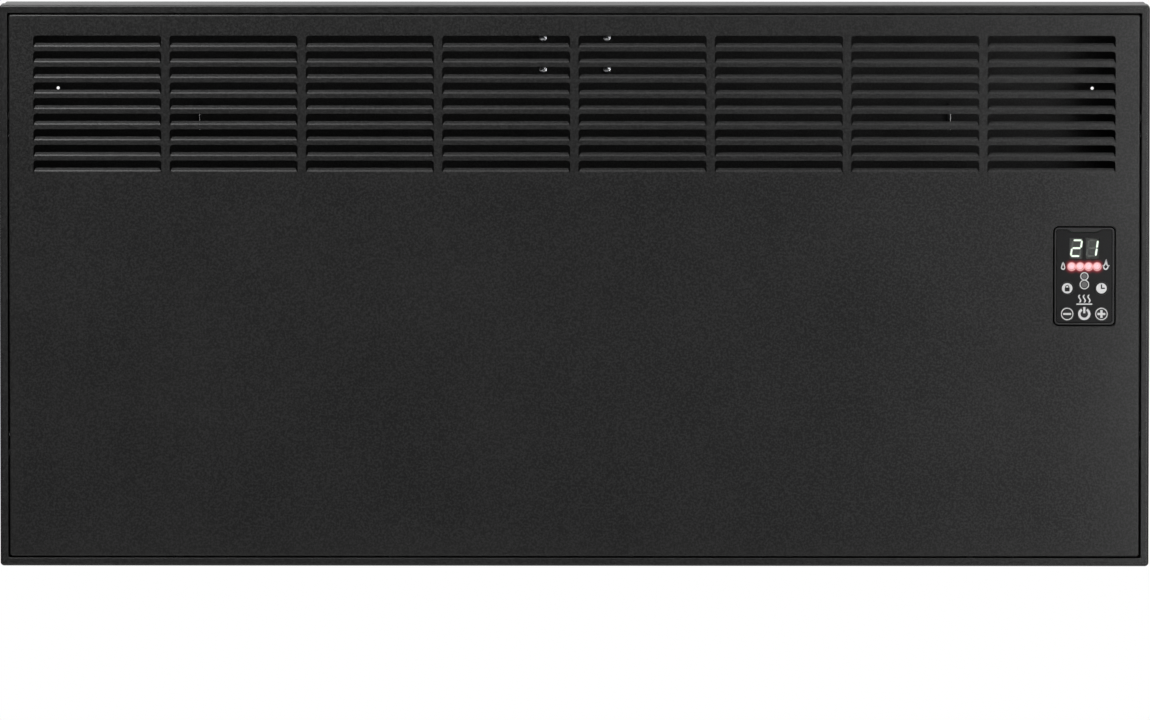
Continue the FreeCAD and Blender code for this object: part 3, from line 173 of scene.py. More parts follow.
class Wire:
    """A socket that can be used in plain arithmetic."""

    def __init__(self, sheet: Sheet, socket: bpy.types.NodeSocket) -> None:
        """Hold a socket.

        Args:
            sheet: the tree that the socket is in.
            socket: the output socket.
        """
        self.sheet = sheet
        self.socket = socket

    def output(self, name: str | int) -> "Wire":
        """Another output of the same node."""
        return Wire(self.sheet, self.socket.node.outputs[name])

    def _do(self, operation: str, first: Any, second: Any = 0.0, third: Any = 0.0) -> "Wire":
        """Add a Math node.

        Args:
            operation: the Math node's operation.
            first: the first number or wire.
            second: the second.
            third: the third.

        Returns:
            The result.
        """
        return self.sheet.node("Math", {"operation": operation}, i0=first, i1=second, i2=third)

    def __add__(self, other: "Wire | float") -> "Wire":
        """self + other."""
        return self._do("ADD", self, other)

    def __sub__(self, other: "Wire | float") -> "Wire":
        """self - other."""
        return self._do("SUBTRACT", self, other)

    def __rsub__(self, other: float) -> "Wire":
        """other - self."""
        return self._do("SUBTRACT", other, self)

    def __mul__(self, other: "Wire | float") -> "Wire":
        """self * other."""
        return self._do("MULTIPLY", self, other)

    def __pow__(self, other: "Wire | float") -> "Wire":
        """self to a power."""
        return self._do("POWER", self, other)

    __radd__ = __add__
    __rmul__ = __mul__

    def low(self, other: "Wire | float") -> "Wire":
        """The lesser of the two."""
        return self._do("MINIMUM", self, other)

    def size(self) -> "Wire":
        """The number without its sign."""
        return self._do("ABSOLUTE", self)

    def ramp(self, start: float, end: float) -> "Wire":
        """0 at start and 1 at end, smoothly.

        Args:
            start: where the rise starts.
            end: where it is over.

        Returns:
            The value from 0 to 1.
        """
        settings = {"interpolation_type": "SMOOTHSTEP"}
        return self.sheet.node("MapRange", settings, Value=self, From_Min=start, From_Max=end)


def rgba(colour: Point) -> tuple[float, float, float, float]:
    """A colour with full alpha."""
    return (*colour, 1.0)


def axes(place: Wire) -> tuple[Wire, Wire, Wire]:
    """The three numbers of a vector."""
    parts = place.sheet.node("SeparateXYZ", Vector=place)
    return parts, parts.output(1), parts.output(2)


# ------------------------------------------------------------------------------ finishes
@dataclass(frozen=True)
class PowderCoat:
    """Fine-textured powder coat on sheet steel.

    Attributes:
        name: the material's name.
        colour: linear base colour.
        roughness: middle roughness.
        grain: size of the texture in metres.
        relief: strength of the texture.
    """

    name: str
    colour: Point
    roughness: float = 0.40
    grain: float = 0.0016
    relief: float = 0.45

    def material(self) -> bpy.types.Material:
        """Make the material."""
        sheet = Sheet(self.name)
        grain = sheet.noise(self.grain, 2.0, 0.6)
        orange_peel = sheet.noise(0.006, 2.0)
        dust = sheet.noise(0.11, 4.0, 0.55)
        pale = tuple(min(1.0, c * 2.0 + 0.006) for c in self.colour)
        flecks = grain.ramp(0.35, 0.70) * 0.85 + dust.ramp(0.3, 0.75) * 0.15
        colour = sheet.blend(flecks, self.colour, pale)
        roughness = dust * 0.03 + grain * 0.14 + (self.roughness - 0.085)
        normal = sheet.bump(grain * 0.8 + orange_peel * 0.5, self.relief, 0.00012)
        return sheet.finish(
            Base_Color=colour, Roughness=roughness, Normal=normal, IOR=1.45, Specular_IOR_Level=0.42
        )


@dataclass(frozen=True)
class Moulding:
    """Moulded plastic or rubber with a fine spark-eroded grain.

    Attributes:
        name: the material's name.
        colour: linear base colour.
        roughness: middle roughness.
        grain: size of the grain in metres.
        relief: strength of the grain.
        coat: strength of a clear gloss over it.
        shine: strength of its own reflections.
    """

    name: str
    colour: Point
    roughness: float = 0.5
    grain: float = 0.0005
    relief: float = 0.15
    coat: float = 0.0
    shine: float = 0.5

    def material(self) -> bpy.types.Material:
        """Make the material."""
        sheet = Sheet(self.name)
        grain = sheet.noise(self.grain, 2.0)
        cloud = sheet.noise(0.02, 3.0)
        worn = tuple(min(1.0, c * 1.18 + 0.002) for c in self.colour)
        colour = sheet.blend(cloud.ramp(0.35, 0.7), self.colour, worn)
        roughness = cloud * 0.12 + (self.roughness - 0.06)
        normal = sheet.bump(grain, self.relief, 0.00006)
        return sheet.finish(
            Base_Color=colour,
            Roughness=roughness,
            Normal=normal,
            Coat_Weight=self.coat,
            Coat_Roughness=0.08,
            Specular_IOR_Level=self.shine,
        )


class Lay(enum.Enum):
    """Which way a metal's drawing or brushing marks run."""

    ALONG_X = (0.02, 1.0, 1.0)
    ALONG_Z = (1.0, 1.0, 0.02)
    NONE = (1.0, 1.0, 1.0)


@dataclass(frozen=True)
class BareMetal:
    """Plated, rolled or extruded metal.

    Attributes:
        name: the material's name.
        colour: linear base colour.
        roughness: middle roughness.
        lay: direction of its marks.
        mark: width of one mark in metres.
        tint: colour of the duller patches.
    """

    name: str
    colour: Point
    roughness: float = 0.3
    lay: Lay = Lay.NONE
    mark: float = 0.0006
    tint: Point | None = None

    def material(self) -> bpy.types.Material:
        """Make the material."""
        sheet = Sheet(self.name)
        along = tuple(f / self.mark for f in self.lay.value)
        marks = sheet.node("TexNoise", Vector=sheet.place(along), Scale=1.0, Detail=3.0)
        patches = sheet.noise(0.018, 3.0, 0.6)
        dull = self.tint or tuple(c * 0.78 for c in self.colour)
        colour = sheet.blend(patches.ramp(0.42, 0.72), self.colour, dull)
        roughness = patches * 0.14 + marks * 0.12 + (self.roughness - 0.12)
        normal = sheet.bump(marks, 0.12, 0.00004)
        return sheet.finish(Base_Color=colour, Metallic=1.0, Roughness=roughness, Normal=normal)


@dataclass(frozen=True)
class BoardLacquer:
    """A circuit board's green lacquer over copper tracks.

    Attributes:
        name: the material's name.
        colour: linear colour of the bare laminate.
    """

    name: str
    colour: Point

    def material(self) -> bpy.types.Material:
        """Make the material."""
        sheet = Sheet(self.name)
        place = sheet.place(320.0)
        cells = sheet.node("TexVoronoi", {"distance": "MANHATTAN"}, Vector=place, Scale=1.0)
        tracks = (cells.ramp(0.30, 0.34)) * (1.0 - cells.ramp(0.46, 0.50))
        lit = tuple(min(1.0, c * 2.2 + 0.01) for c in self.colour)
        colour = sheet.blend(tracks, self.colour, lit)
        normal = sheet.bump(tracks, 0.3, 0.00005)
        return sheet.finish(Base_Color=colour, Roughness=tracks * 0.1 + 0.34, Normal=normal)


@dataclass(frozen=True)
class Glow:
    """A lit part, its light a little uneven.

    Attributes:
        name: the material's name.
        colour: linear light colour.
        body: colour of the part when unlit.
        strength: brightness.
        mottle: how uneven the light is.
    """

    name: str
    colour: Point
    body: Point
    strength: float
    mottle: float = 0.12

    def material(self) -> bpy.types.Material:
        """Make the material."""
        sheet = Sheet(self.name)
        uneven = sheet.noise(0.0014, 1.0)
        soft = tuple(c * (1.0 - self.mottle) for c in self.colour)
        light = sheet.blend(uneven.ramp(0.3, 0.7), self.colour, soft)
        body = sheet.blend(uneven, self.body, tuple(c * 0.9 for c in self.body))
        return sheet.finish(
            Base_Color=body,
            Roughness=uneven * 0.1 + 0.25,
            Emission_Color=light,
            Emission_Strength=self.strength,
        )


@dataclass(frozen=True)
class Ink:
    """Screen-printed ink, very slightly uneven.

    Attributes:
        name: the material's name.
        colour: linear colour.
        faint: how much the ink thins in places.
    """

    name: str
    colour: Point
    faint: float = 0.12

    def material(self) -> bpy.types.Material:
        """Make the material."""
        sheet = Sheet(self.name)
        thin = sheet.noise(0.0007, 2.0).ramp(0.35, 0.75)
        colour = sheet.blend(thin, self.colour, tuple(c * (1.0 - self.faint) for c in self.colour))
        return sheet.finish(Base_Color=colour, Roughness=thin * 0.1 + 0.42)


@dataclass(frozen=True)
class SmokedWindow:
    """The control's smoked plate: solid tint, clear windows over the lamps that light it, and a
    painted glow that the plate itself emits over and round each lamp.

    Attributes:
        name: the material's name.
        colour: linear tint.
        middle: the control's middle as x and z.
        display: pitch, half width, half height and rise of the digits' two windows.
        lamp_rise: height of the lamps' row over the middle.
        lamp_pitch: distance from lamp to lamp.
        lamp_count: number of lamps.
    """

    name: str
    colour: Point
    middle: tuple[float, float]
    display: tuple[float, float, float, float] = (12.9 * MM, 5.6 * MM, 8.6 * MM, 22.3 * MM)
    lamp_rise: float = 7.7 * MM
    lamp_pitch: float = 6.8 * MM
    lamp_count: int = 4

    def material(self) -> bpy.types.Material:
        """Make the material."""
        sheet = Sheet(self.name)
        x, _, z = axes(sheet.place())
        across = x - self.middle[0]
        up = z - self.middle[1]
        pitch, half_w, half_h, rise = self.display
        in_width = 1.0 - (across.size() - pitch / 2).size().ramp(half_w - 0.3 * MM, half_w)
        in_height = 1.0 - (up - rise).size().ramp(half_h - 0.3 * MM, half_h)
        digits = in_width * in_height
        clear: Wire | float = 0.0
        core: Wire | float = 0.0
        halo: Wire | float = 0.0
        for number in range(self.lamp_count):
            side = (number - (self.lamp_count - 1) / 2) * self.lamp_pitch
            away = ((across - side) ** 2.0 + (up - self.lamp_rise) ** 2.0) ** 0.5
            clear = (1.0 - away.ramp(2.4 * MM, 3.2 * MM)) + clear
            core = (1.0 - away.ramp(2.3 * MM, 4.2 * MM)) + core
            halo = (1.0 - away.ramp(2.0 * MM, 7.5 * MM)) ** 2.0 + halo
        windows = (digits * 0.86 + clear.low(1.0) * 0.85).low(0.95)
        grain = sheet.noise(0.0006, 2.0)
        cloud = sheet.noise(0.015, 2.0)
        tint = sheet.blend(cloud, self.colour, tuple(c * 1.25 for c in self.colour))
        # painted light: the plate emits a pale glow over each lamp and a red halo round it,
        # standing for the lamps' light in the plastic
        glow = sheet.blend(core.low(1.0), (0.0, 0.0, 0.0), (0.86, 0.60, 0.58))
        spill = sheet.blend(halo.low(1.0), (0.0, 0.0, 0.0), (0.36, 0.020, 0.036))
        light = sheet.node("VectorMath", {"operation": "ADD"}, i0=glow, i1=spill)
        return sheet.finish(
            Base_Color=tint,
            Roughness=grain * 0.14 + 0.33,
            Alpha=1.0 - windows,
            Emission_Color=light,
            Emission_Strength=1.0,
            Normal=sheet.bump(grain, 0.10, 0.00005),
            Specular_IOR_Level=0.3,
        )


# ------------------------------------------------------------------------------ the bench
class Part(enum.Enum):
    """What is picked in edit mode."""

    POINTS = ("verts", (True, False, False))
    EDGES = ("edges", (False, True, False))
    FACES = ("faces", (False, False, True))


def middle_of(element: Any) -> Vector:
    """The middle of an edge or a face."""
    points = [v.co for v in element.verts]
    return sum(points, Vector()) / len(points)


@dataclass
class Bench:
    """A work bench that shapes one mesh with modelling operators.

    Attributes:
        name: the piece's name.
        piece: the object on the bench.
    """

    name: str
    piece: bpy.types.Object = field(init=False)

    def _start(self) -> None:
        """Clear the selection in object mode."""
        if bpy.context.object and bpy.context.object.mode != "OBJECT":
            bpy.ops.object.mode_set(mode="OBJECT")
        bpy.ops.object.select_all(action="DESELECT")

    def _take(self) -> "Bench":
        """Name the new primitive, settle it at the origin and open it for editing."""
        self.piece = bpy.context.object
        self.piece.name = self.name
        self.piece.data.name = self.name
        bpy.ops.object.transform_apply(location=True, rotation=True, scale=True)
        bpy.ops.object.mode_set(mode="EDIT")
        return self

    def plate(self, middle: Point, width: float, height: float) -> "Bench":
        """Lay down a flat rectangle that faces -Y.

        Args:
            middle: its middle.
            width: its size along X.
            height: its size along Z.

        Returns:
            The bench, with the plate in edit mode.
        """
        self._start()
        bpy.ops.mesh.primitive_plane_add(size=1.0, location=middle, rotation=(math.pi / 2, 0, 0))
        bpy.context.object.scale = (width, height, 1.0)
        return self._take()

    def block(self, low: Point, high: Point) -> "Bench":
        """Lay down a box between two corners.

        Args:
            low: the lowest corner.
            high: the highest corner.

        Returns:
            The bench, with the box in edit mode.
        """
        self._start()
        middle = [(a + b) / 2 for a, b in zip(low, high)]
        bpy.ops.mesh.primitive_cube_add(size=1.0, location=middle)
        bpy.context.object.scale = [b - a for a, b in zip(low, high)]
        return self._take()

    def disc(self, middle: Point, radius: float, sides: int = 48, filled: bool = True) -> "Bench":
        """Lay down a disc, or its rim, that faces -Y.

        Args:
            middle: its centre.
            radius: its radius.
            sides: how many sides it has.
            filled: whether it has a face.

        Returns:
            The bench, with the disc in edit mode.
        """
        self._start()
        bpy.ops.mesh.primitive_circle_add(
            vertices=sides,
            radius=radius,
            fill_type="NGON" if filled else "NOTHING",
            location=middle,
            rotation=(math.pi / 2, 0, 0),
        )
        return self._take()

    def round_slab(self, middle: Point, radius: float) -> "Bench":
        """Lay down a flat disc that faces up.

        Args:
            middle: its centre.
            radius: its radius.

        Returns:
            The bench, with the disc in edit mode.
        """
        self._start()
        bpy.ops.mesh.primitive_circle_add(
            vertices=96, radius=radius, fill_type="NGON", location=middle
        )
        return self._take()

    def pick(self, part: Part, test: Test | None = None) -> int:
        """Select the points, edges or faces that pass a test, and nothing else.

        Args:
            part: what is picked.
            test: takes one element; without it, everything is picked.

        Returns:
            How many were picked.
        """
        group, mode = part.value
        bpy.context.tool_settings.mesh_select_mode = mode
        mesh = bmesh.from_edit_mesh(self.piece.data)
        for element in [*mesh.faces, *mesh.edges, *mesh.verts]:
            element.select = False
        chosen = [e for e in getattr(mesh, group) if test is None or test(e)]
        for element in chosen:
            element.select_set(True)
        bmesh.update_edit_mesh(self.piece.data)
        return len(chosen)

    def cut(self, axis: int, places: Iterable[float]) -> None:
        """Cut whatever is selected by flat planes.

        Args:
            axis: 0, 1 or 2 for planes across X, Y or Z.
            places: where each plane stands.
        """
        normal = [0.0, 0.0, 0.0]
        normal[axis] = 1.0
        for place in places:
            point = [0.0, 0.0, 0.0]
            point[axis] = place
            bpy.ops.mesh.bisect(plane_co=point, plane_no=normal)

    def cut_all(self, axis: int, places: Iterable[float], test: Test | None = None) -> None:
        """Pick faces afresh before each of several cuts.

        Args:
            axis: 0, 1 or 2 for planes across X, Y or Z.
            places: where each plane stands.
            test: which faces are cut.
        """
        for place in places:
            self.pick(Part.FACES, test)
            self.cut(axis, [place])

    def move(self, x: float = 0.0, y: float = 0.0, z: float = 0.0) -> None:
        """Move what is selected."""
        bpy.ops.transform.translate(value=(x, y, z))

    def shift(self, test: Test, x: float = 0.0, y: float = 0.0, z: float = 0.0) -> None:
        """Move the points that pass a test.

        Args:
            test: takes one point.
            x: distance along X.
            y: distance along Y.
            z: distance along Z.
        """
        if self.pick(Part.POINTS, test):
            self.move(x, y, z)

    def pull(self, x: float = 0.0, y: float = 0.0, z: float = 0.0) -> None:
        """Extrude what is selected."""
        bpy.ops.mesh.extrude_region_move(TRANSFORM_OT_translate={"value": (x, y, z)})

    def drop_faces(self, test: Test) -> None:
        """Delete the faces that pass a test."""
        if self.pick(Part.FACES, test):
            bpy.ops.mesh.delete(type="FACE")

    def tidy(self, outward: bool = True) -> None:
        """Merge doubles and, for a closed shape, turn every face outwards."""
        self.pick(Part.POINTS)
        bpy.ops.mesh.remove_doubles(threshold=0.000005)
        if outward:
            bpy.ops.mesh.select_all(action="SELECT")
            bpy.ops.mesh.normals_make_consistent(inside=False)

    def done(self, smooth: float | None = 35.0) -> bpy.types.Object:
        """Leave edit mode and shade the piece.

        Args:
            smooth: the steepest angle in degrees that is shaded smooth, or none for flat.

        Returns:
            The piece.
        """
        bpy.ops.object.mode_set(mode="OBJECT")
        bpy.ops.object.select_all(action="DESELECT")
        self.piece.select_set(True)
        bpy.context.view_layer.objects.active = self.piece
        if smooth is not None:
            bpy.ops.object.shade_smooth_by_angle(angle=math.radians(smooth))
            self.modify("WEIGHTED_NORMAL", keep_sharp=True)
        return self.piece

    def modify(self, kind: str, **settings: Any) -> None:
        """Add a modifier and apply it.

        Args:
            kind: the modifier's type.
            **settings: its settings.
        """
        if self.piece.mode != "OBJECT":
            bpy.ops.object.mode_set(mode="OBJECT")
        bpy.ops.object.select_all(action="DESELECT")
        self.piece.select_set(True)
        bpy.context.view_layer.objects.active = self.piece
        bpy.ops.object.modifier_add(type=kind)
        added = self.piece.modifiers[-1]
        for key, value in settings.items():
            setattr(added, key, value)
        bpy.ops.object.modifier_apply(modifier=added.name)

    def edit(self) -> None:
        """Open the piece for editing again."""
        bpy.context.view_layer.objects.active = self.piece
        bpy.ops.object.mode_set(mode="EDIT")


def near(value: float, target: float, within: float = 0.00002) -> bool:
    """Whether two lengths agree."""
    return abs(value - target) < within


def join(name: str, pieces: Sequence[bpy.types.Object]) -> bpy.types.Object:
    """Make several pieces one.

    Args:
        name: the new piece's name.
        pieces: what is joined; the first one takes in the rest.

    Returns:
        The joined piece.
    """
    bpy.ops.object.select_all(action="DESELECT")
    for piece in pieces:
        piece.select_set(True)
    bpy.context.view_layer.objects.active = pieces[0]
    if len(pieces) > 1:
        bpy.ops.object.join()
    pieces[0].name = name
    pieces[0].data.name = name
    return pieces[0]


def copy_of(
    piece: bpy.types.Object, name: str, x: float = 0.0, y: float = 0.0, z: float = 0.0
) -> bpy.types.Object:
    """A copy with its own mesh, moved in its mesh.

    Args:
        piece: what is copied.
        name: the copy's name.
        x: distance along X.
        y: distance along Y.
        z: distance along Z.

    Returns:
        The copy.
    """
    bpy.ops.object.select_all(action="DESELECT")
    piece.select_set(True)
    bpy.context.view_layer.objects.active = piece
    bpy.ops.object.duplicate(linked=False)
    made = bpy.context.object
    made.name = name
    made.data.name = name
    made.location = (x, y, z)
    bpy.ops.object.transform_apply(location=True, rotation=True, scale=True)
    return made


def dress(piece: bpy.types.Object, material: bpy.types.Material) -> bpy.types.Object:
    """Give a piece one material in place of any it has.

    Args:
        piece: a new piece or a node of the model.
        material: what it is made of.

    Returns:
        The piece.
    """
    if not piece.data.materials:
        piece.data.materials.append(material)
    for place in range(len(piece.material_slots)):
        piece.material_slots[place].material = material
    return piece


@dataclass
class SubAssembly:
    """A group of pieces that is built and dressed together.

    Attributes:
        body: the body that the pieces ride on.
        built: the new pieces' names.
    """

    body: str = "heater"
    built: list[str] = field(default_factory=list)

    def keep(
        self,
        piece: bpy.types.Object,
        material: bpy.types.Material,
        slot: str,
        replaced: Sequence[str] = (),
        body: str | None = None,
    ) -> bpy.types.Object:
        """slot: the record's slot for its finish; not used.
            replaced: nodes of the model that it stands for.
            body: another body than the group's own.

        Returns:
            The piece.
        """
        dress(piece, material)
        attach(piece, body or self.body)
        if replaced:
            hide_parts(*replaced)
        self.built.append(piece.name)
        LOG.info("%s: %d faces on %s", piece.name, len(piece.data.polygons), body or self.body)
        return piece


# ------------------------------------------------------------------------------ front panel
@dataclass
class FrontPanel(SubAssembly):
    """The flanged sheet with eight columns of nine pressed louvres.

    Attributes:
        sheet: thickness of the steel.
        columns: louvres across.
        rows: louvres down.
        pitch_x: column pitch.
        pitch_z: row pitch.
        length: length of one louvre.
        opening: clear height of one louvre.
        lip: height of the inclined lip.
        lip_angle: slope of the lip from the sheet, in degrees.
        lip_bend: radius at the lip's foot.
        corner: radius of an opening's upper corners.
        end_cut: how much shorter the lip's free edge is at each end.
        top_margin: panel's top edge to the first opening.
        flange: depth of the turned edge.
        edge_bend: radius of the turned edge.
        plan_corner: radius of the panel's corners.
        cut_width: width of the control's cut-out.
        cut_height: height of the control's cut-out.
        cut_corner: its corner radius.
        control: middle of the cut-out as x and z.
    """

    sheet: float = 1.0 * MM
    columns: int = 8
    rows: int = 9
    pitch_x: float = 109.0 * MM
    pitch_z: float = 12.5 * MM
    length: float = 102.4 * MM
    opening: float = 6.1 * MM
    lip: float = 3.6 * MM
    lip_angle: float = 50.0
    lip_bend: float = 2.5 * MM
    corner: float = 2.6 * MM
    end_cut: float = 1.9 * MM
    top_margin: float = 16.7 * MM
    flange: float = 12.0 * MM
    edge_bend: float = 1.5 * MM
    plan_corner: float = 2.0 * MM
    cut_width: float = 50.4 * MM
    cut_height: float = 80.4 * MM
    cut_corner: float = 4.7 * MM
    control: tuple[float, float] = (408.0 * MM, -122.0 * MM)

    def profile(self) -> list[tuple[float, float]]:
        """Height and depth of points up the lip, from its foot to its tip."""
        turn = math.radians(self.lip_angle)
        points = []
        for step in range(5):
            angle = turn * step / 4
            points.append((self.lip_bend * math.sin(angle), self.lip_bend * (1 - math.cos(angle))))
        foot_height, foot_depth = points[-1]
        points.append((self.lip, foot_depth + (self.lip - foot_height) * math.tan(turn)))
        return points

    def ends(self) -> list[tuple[float, float]]:
        """Stations at a louvre's end: distance in from it and fall of the round corner there."""
        angles = [math.radians(22.5 * step) for step in range(5)]
        return [(self.corner * (1 - math.cos(a)), self.corner * (1 - math.sin(a))) for a in angles]

    def louvre(self, bench: Bench, left: float, foot: float, front: float) -> None:
        """Shape one cell of the field: a window with round upper corners over a lip with free ends.

        Args:
            bench: where it is made.
            left: x of the louvre's left end.
            foot: z of the lip's foot.
            front: y of the sheet's face.
        """
        land = self.pitch_z - self.opening - self.lip
        top = foot + self.lip + self.opening
        right = left + self.length
        centre = (left + right) / 2
        middle = (centre, front, foot + (self.pitch_z - land) / 2)
        bench.plate(middle, self.pitch_x, self.pitch_z)
        ends = self.ends()
        first = ends[1][0]
        tip = foot + self.lip
        bench.cut_all(0, [left + reach for reach, _ in ends] + [right - reach for reach, _ in ends])
        bench.cut_all(2, [foot + height for height, _ in self.profile()] + [top])
        bench.drop_faces(lambda f: left < middle_of(f).x < right and tip < middle_of(f).z < top)
        slit = (self.length - first) / 2
        bench.drop_faces(
            lambda f: near(abs(middle_of(f).x - centre), slit) and foot < middle_of(f).z < tip
        )
        for height, depth in self.profile()[1:]:
            slide = (self.end_cut - first) * height / self.lip
            for reach, _ in reversed(ends[1:]):
                share = (self.corner - reach) / (self.corner - first)
                for x, sign in ((left + reach, 1), (right - reach, -1)):
                    bench.shift(
                        lambda v: near(v.co.z, foot + height) and near(v.co.x, x),
                        x=sign * slide * share,
                        y=depth,
                    )
        for reach, fall in ends[:-1]:
            both = (left + reach, right - reach)
            bench.shift(
                lambda v: near(v.co.z, top) and any(near(v.co.x, x) for x in both), z=-fall
            )

    def cut_out(self, bench: Bench, low: float) -> None:
        """Open the control's cut-out with round corners.

        Args:
            bench: where the panel is.
            low: z under which the sheet is plain.
        """
        cx, cz = self.control
        half_w, half_h, r = self.cut_width / 2, self.cut_height / 2, self.cut_corner
        angles = [math.radians(a) for a in (0, 15, 30, 45, 60, 75, 90)]
        reach = [r * (1 - math.cos(a)) for a in angles]
        walls = [cx - half_w + s for s in reach] + [cx + half_w - s for s in reach]
        strip = (cx - half_w - 0.01, cx + half_w + 0.01)
        bench.cut_all(
            0, walls, lambda f: middle_of(f).z < low and strip[0] < middle_of(f).x < strip[1]
        )
        levels = (cz - half_h - 3 * MM, cz - half_h, cz + half_h, cz + half_h + 3 * MM)
        bench.cut_all(2, levels, lambda f: middle_of(f).z < low)
        bench.drop_faces(
            lambda f: abs(middle_of(f).x - cx) < half_w and abs(middle_of(f).z - cz) < half_h
        )
        for angle, away in zip(angles[:-1], reach[:-1]):
            fall = r * (1 - math.sin(angle))
            for sign in (-1, 1):
                bench.shift(
                    lambda v: near(v.co.z, cz + sign * half_h)
                    and (near(v.co.x, cx - half_w + away) or near(v.co.x, cx + half_w - away)),
                    z=-sign * fall,
                )

    def build(self, coat: bpy.types.Material) -> None:
        """Build the panel.

        Args:
            coat: the powder coat.
        """
        low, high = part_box("front_panel")
        front = low.y
        bench = Bench("front_panel_pressed")
        gap = self.pitch_x - self.length
        field_width = self.columns * self.pitch_x - gap
        left = -field_width / 2
        foot = high.z - self.top_margin - self.opening - self.lip - (self.rows - 1) * self.pitch_z
        self.louvre(bench, left, foot, front)
        bench.modify(
            "ARRAY",
            count=self.columns,
            use_relative_offset=False,
            use_constant_offset=True,
            constant_offset_displace=(self.pitch_x, 0.0, 0.0),
            use_merge_vertices=True,
            merge_threshold=0.00001,
        )
        bench.modify(
            "ARRAY",
            count=self.rows,
            use_relative_offset=False,
            use_constant_offset=True,
            constant_offset_displace=(0.0, 0.0, self.pitch_z),
            use_merge_vertices=True,
            merge_threshold=0.00001,
        )
        bench.edit()
        land = self.pitch_z - self.opening - self.lip
        field_low = foot - land / 2
        field_high = field_low + self.rows * self.pitch_z
        edge = left - gap / 2
        for side in (-1, 1):
            bench.pick(Part.EDGES, lambda e: all(near(v.co.x, side * -edge) for v in e.verts))
            bench.pull(x=side * (high.x + edge))
        bench.pick(Part.EDGES, lambda e: all(near(v.co.z, field_high) for v in e.verts))
        bench.pull(z=high.z - field_high)
        bench.pick(Part.EDGES, lambda e: all(near(v.co.z, field_low) for v in e.verts))
        bench.pull(z=low.z - field_low)
        self.cut_out(bench, field_low)
        bench.pick(
            Part.POINTS,
            lambda v: near(abs(v.co.x), high.x) and (near(v.co.z, high.z) or near(v.co.z, low.z)),
        )
        bpy.ops.mesh.bevel(offset=self.plan_corner, segments=4, affect="VERTICES")

        def on_rim(element: Any) -> bool:
            """Whether every point is on the panel's outer edge."""
            return all(
                near(abs(v.co.x), high.x)
                or near(v.co.z, high.z)
                or near(v.co.z, low.z)
                or self.in_corner(v, low, high)
                for v in element.verts
            )

        bench.pick(Part.EDGES, lambda e: e.is_boundary and on_rim(e))
        bench.pull(y=self.flange)
        bench.tidy()
        mesh = bmesh.from_edit_mesh(bench.piece.data)
        if sum(f.normal.y * f.calc_area() for f in mesh.faces) > 0:
            bpy.ops.mesh.flip_normals()
        bench.pick(
            Part.EDGES,
            lambda e: len(e.link_faces) == 2
            and on_rim(e)
            and all(near(v.co.y, front) for v in e.verts)
            and e.calc_face_angle() > 1.2,
        )
        bpy.ops.mesh.bevel(offset=self.edge_bend, segments=4, affect="EDGES")
        bench.modify("SOLIDIFY", thickness=self.sheet, offset=-1.0, use_even_offset=True)
        piece = bench.done(32.0)
        self.keep(piece, coat, "black_powder", ["front_panel"])

    def in_corner(self, point: Any, low: Vector, high: Vector) -> bool:
        """Whether a point lies in one of the panel's round corners.

        Args:
            point: a point of the mesh.
            low: the panel's lowest corner.
            high: the panel's highest corner.

        Returns:
            True in a corner.
        """
        reach = self.plan_corner * 1.01
        beside = abs(point.co.x) > high.x - reach
        level = point.co.z > high.z - reach or point.co.z < low.z + reach
        return beside and level


# ------------------------------------------------------------------------------ front frame
@dataclass
class FrontFrame(SubAssembly):
    """The folded ring round the panel.

    Attributes:
        sheet: thickness of the steel.
        rim: width of the front rim.
        returned: depth of the turned-in edge behind the rim.
        corner: plan radius of the outer corners.
        inner_corner: plan radius of the inner corners.
        bend: radius of the front outer edge.
        inner_bend: radius of the rim's inner edge.
    """

    sheet: float = 1.0 * MM
    rim: float = 6.5 * MM
    returned: float = 8.0 * MM
    corner: float = 3.0 * MM
    inner_corner: float = 1.2 * MM
    bend: float = 2.0 * MM
    inner_bend: float = 0.9 * MM

    def build(self, coat: bpy.types.Material) -> None:
        """Build the frame.

        Args:
            coat: the powder coat.
        """
        low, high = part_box("front_frame")
        bench = Bench("front_frame_folded").block(low, high)
        bench.drop_faces(lambda f: f.normal.y > 0.9)
        bench.pick(Part.FACES, lambda f: f.normal.y < -0.99)
        bpy.ops.mesh.inset(thickness=self.rim)
        bench.pull(y=self.returned)
        bpy.ops.mesh.delete(type="FACE")
        inside = high.x - self.rim + 0.0001
        for radius, outer in ((self.corner, True), (self.inner_corner, False)):
            bench.pick(
                Part.EDGES,
                lambda e: abs(e.verts[0].co.y - e.verts[1].co.y) > self.returned / 2
                and (abs(e.verts[0].co.x) > inside) == outer,
            )
            bpy.ops.mesh.bevel(offset=radius, segments=6, affect="EDGES")
        inner = (low.z + self.rim - 0.0001, high.z - self.rim + 0.0001)
        for radius, segments, outer in ((self.bend, 4, True), (self.inner_bend, 3, False)):
            bench.pick(
                Part.EDGES,
                lambda e: all(
                    near(v.co.y, low.y)
                    and (abs(v.co.x) < inside and inner[0] < v.co.z < inner[1]) != outer
                    for v in e.verts
                )
                and any(f.normal.y > -0.5 for f in e.link_faces),
            )
            bpy.ops.mesh.bevel(offset=radius, segments=segments, affect="EDGES")
        bench.tidy()
        bench.modify("SOLIDIFY", thickness=self.sheet, offset=-1.0, use_even_offset=True)
        piece = bench.done(40.0)
        self.keep(piece, coat, "black_powder", ["front_frame"])


